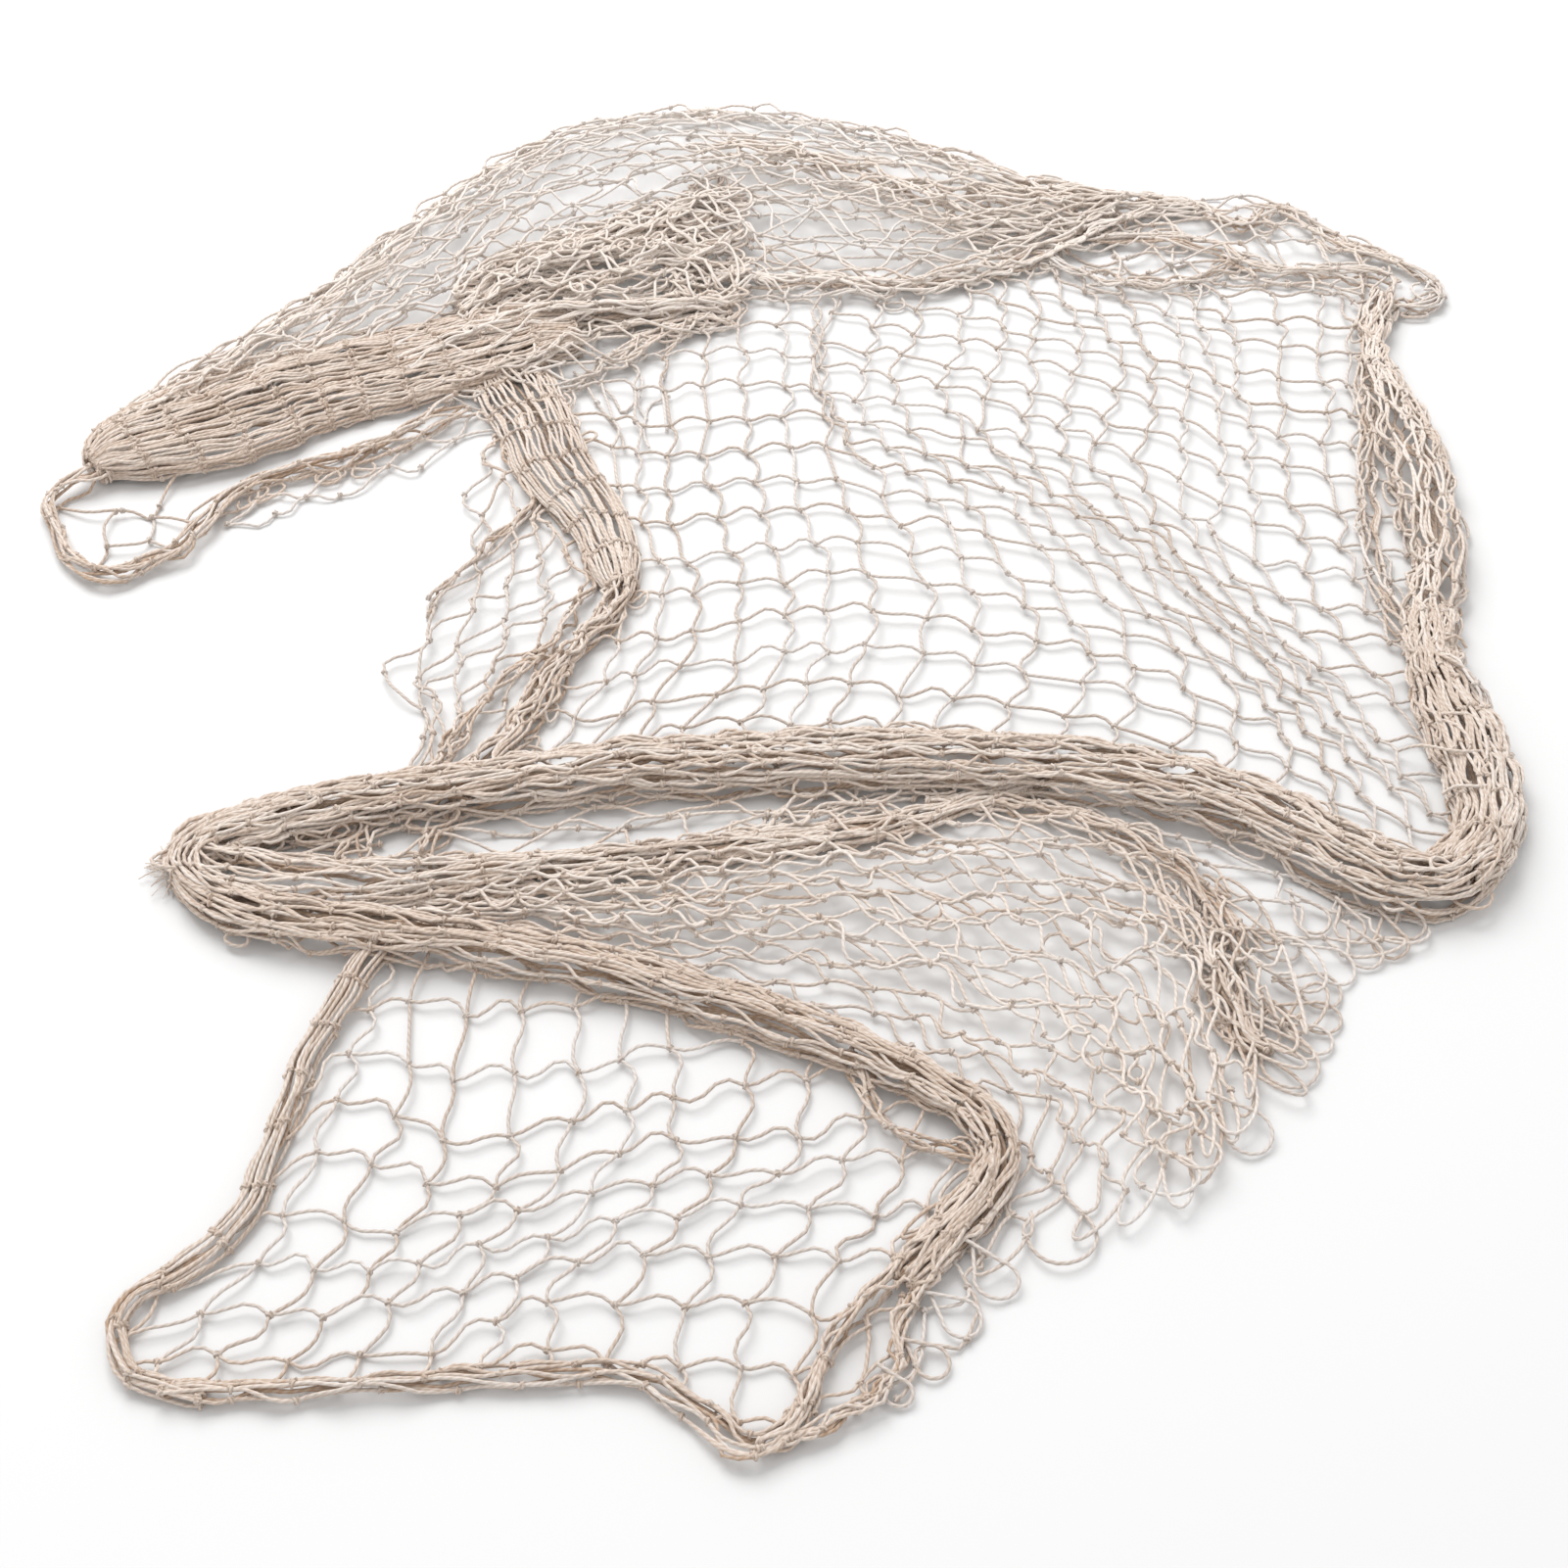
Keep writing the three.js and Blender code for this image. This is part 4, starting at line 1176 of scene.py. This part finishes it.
gapNet = sheet(
    [140, -16, 138, -36, 1], [170, -30, 160, -58, 2], [202, -48, 180, -78, 2], [230, -66, 203, -90, 2],
    [250, -76, 226, -96, 1],
    layers=[dict(rows=4, seed=90, slip=2.5, cross=0.2, roam=0.15, wander=0.2, swell=1.5, bulge=1.8,
                 skew=1.5, loop=0.6)],
)
cornerFringe = sheet(
    [60, -225, 67, -230, 1], [56, -243, 76, -254, 1], [46, -258, 60, -268, 1], [42, -272, 50, -279, 1],
    [32, -287, 36, -292, 0],
    layers=[dict(rows=2, seed=107, slip=1.5, cross=0.1, roam=0.1, wander=0.1, swell=1, bulge=1.6, skew=1.6,
                 round=1, stretch=0.85)],
)
edgeLoops = dict(  # slack loops along the curled edge and down to the corner
    seed=85, high=5, climb=1.8,  # heights in mm
    gap=0.75,  # half of a loop's opening, in radians
    stem=2.4, apart=0.25,  # where its two ends lie, in loop sizes
    table=sections(
        "x y size turn",
        [196, -91, 8, 150], [211, -77, 7, 120], [216, -102, 8, 145], [225, -82, 6, 100], [229, -95, 7, 110],
        [240, -90, 7, 95], [249, -81, 6, 100], [209, -113, 8, 165], [207, -126, 8, 160],
        [203, -137, 7, 150], [192, -148, 11, 120], [184, -134, 6, 130], [164, -92, 6, 200],
        [172, -180, 9, 125], [75, -243, 8, 120], [62, -258, 7, 140], [51, -275, 6, 140], [39, -287, 5, 120],
    ),
)

net = Netting()
laySheets(net, lowerFan)
layBundles(net, curlBand)
laySheets(net, curlNet, gapNet, cornerFringe)
roundLoops(net, edgeLoops)
makePiece("netLowerFan", net, tintSeed=7)


# lower bundle with its hook, lower panel and its edges

lowerBundle = bundle(
    [-244, -52, 16, 10], [-222, -72, 23, 14], [-185, -84, 24, 15], [-130, -92, 22, 15], [-70, -106, 21, 15],
    [-10, -128, 21, 15], [40, -152, 18, 14], [57, -162, 17, 13], [70, -172, 17, 12], [78, -186, 17, 12],
    [76, -202, 17, 11], [65, -217, 18, 10], [53, -231, 16, 8], [42, -244, 11, 6],
    rows=35, seed=91, slip=3.5, cross=0.5, roam=0.7, wander=0.7, bulge=0.8, skew=0.7,
    loops=[dict(seed=92, count=8, reach=5, half=9, start=0.1)],
)
leftSplit = bundle(
    [57, -225, 13, 10], [38, -243, 10, 8], [22, -260, 8, 7], [14, -275, 6, 6], [8, -291, 6, 6],
    [1, -303, 7, 6], [-8, -307, 8, 6],
    rows=8, seed=100, slip=3, cross=0.5, roam=0.6, bulge=1, skew=1.2,
)
rightSplit = bundle(
    [64, -222, 10, 10], [51, -242, 7, 8], [42, -257, 5, 6], [40, -270, 5, 5], [37, -281, 5, 5],
    [28, -291, 5, 5], [13, -300, 6, 5], [0, -305, 6, 5],
    rows=7, seed=101, slip=3, cross=0.6, roam=0.6, bulge=1.4, skew=1.5, stretch=0.85,
)
splitNet = sheet(
    [36, -247, 44, -245, 1], [24, -258, 43, -258, 2], [16, -270, 42, -268, 3], [9, -284, 38, -280, 2],
    [4, -296, 24, -293, 1],
    layers=[dict(rows=3, seed=102, slip=2, cross=0.2, roam=0.1, wander=0.2, bulge=1.6)],
)
hookStrand = bundle(
    [24, -144, 8, 8], [32, -166, 6, 7], [40, -179, 6, 7], [53, -186, 7, 7], [73, -192, 10, 8],
    rows=6, seed=93, slip=2, cross=0.4, bulge=0.6,
)
leftEdge = bundle(
    [-158, -88, 13, 9], [-172, -120, 12, 8], [-183, -155, 11, 8], [-189, -190, 10, 7], [-196, -218, 11, 7],
    [-212, -238, 12, 6], [-228, -250, 8, 5], [-232, -266, 8, 5], [-222, -282, 8, 5], [-198, -288, 9, 5],
    rows=11, share=0.8, seed=94, slip=1.2, cross=0.3, roam=0.4, bulge=0.3, skew=0.5, pleat=True,
)
bottomEdge = bundle(
    [-212, -287, 8, 5], [-165, -286, 9, 6], [-120, -283, 9, 6], [-80, -280, 10, 6], [-55, -279, 10, 6],
    [-40, -285, 11, 6], [-28, -295, 12, 6], [-18, -305, 12, 6], [-8, -308, 11, 6], [0, -303, 9, 6],
    [6, -292, 8, 6],
    rows=10, seed=95, slip=2, cross=0.3, roam=0.4, bulge=0.5, skew=0.5,
)
lowerPanel = panel(
    [-2, -190, -140, -205, -190, -225, -232, -255, -262, -275, -288, -290, -315],
    [0, -158, -96, -163, -142, -172, -190, -190, -235, -215, -275, -235, -310],
    [2, -122, -92, -125, -155, -130, -202, -148, -240, -172, -272, -190, -305],
    [4, -84, -90, -78, -150, -82, -197, -108, -228, -122, -268, -135, -298],
    [6, -40, -92, -42, -140, -40, -183, -60, -220, -82, -252, -85, -290],
    [8, 12, -105, 8, -130, 7, -178, -15, -213, -35, -255, -35, -295],
    [10, 58, -118, 50, -125, 52, -168, 32, -215, 10, -255, 0, -300],
    [12, 100, -125, 95, -120, 95, -165, 72, -205, 48, -255, 25, -300],
    meshes=10, seed=96, jitter=1.5, hover=1, swell=2.2, rise=1.2,
    rows=(0.99, 0.9, -1.8), columns=(0.99, 1, 1.3),  # slack, bow and bend of the bars each way
)
lowerOutline = outlineOf(
    (leftEdge, 0.0, 1.0), (bottomEdge, 0.05, 1.0), (leftSplit, 1.0, 0.0), (lowerBundle, 1.0, 0.2),
)

net = Netting()
layBundles(net, lowerBundle, leftSplit, rightSplit, hookStrand, leftEdge, bottomEdge)
laySheets(net, splitNet)
layPanel(net, lowerPanel, lowerOutline)
makePiece("netLower", net, tintSeed=8, paintedLightAndShade=-0.3)


# floor and light

studio = dict(
    floor=(0.76, 0.76, 0.76),
    floorRoughness=0.9,
    floorGloss=0.1,
    floorHalf=6.0,
    sky=0.8,
    key=47.0,
    keySize=1.7,
    keyPlace=(-0.6, 1.15, 1.9),
)


def makeStudio(values):
    half = values["floorHalf"]
    mesh = bpy.data.meshes.new("floor")
    corners = [(-half, -half, 0), (half, -half, 0), (half, half, 0), (-half, half, 0)]
    mesh.from_pydata(corners, [], [(0, 1, 2, 3)])
    floor = bpy.data.objects.new("floor", mesh)
    scene.collection.objects.link(floor)
    paint = bpy.data.materials.new("paleFloor")
    paint.use_nodes = True
    fill(paint.node_tree, paint.node_tree.nodes["Principled BSDF"], {
        "Base Color": (*values["floor"], 1.0),
        "Roughness": values["floorRoughness"],
        "Specular IOR Level": values["floorGloss"],
    })
    mesh.materials.append(paint)
    world = bpy.data.worlds.new("studio")
    world.use_nodes = True
    sky = {"Color": (1.0, 1.0, 1.0, 1.0), "Strength": values["sky"]}
    fill(world.node_tree, world.node_tree.nodes["Background"], sky)
    scene.world = world
    lamp = bpy.data.lights.new("key", "AREA")
    lamp.energy = values["key"]
    lamp.size = values["keySize"]
    key = bpy.data.objects.new("key", lamp)
    x, y, z = values["keyPlace"]
    key.location = (x, y, z)
    key.rotation_euler = (math.atan2(math.hypot(x, y), z), 0.0, math.atan2(x, -y))
    scene.collection.objects.link(key)
    scene.view_settings.view_transform = "Standard"


makeStudio(studio)
print("studio set")
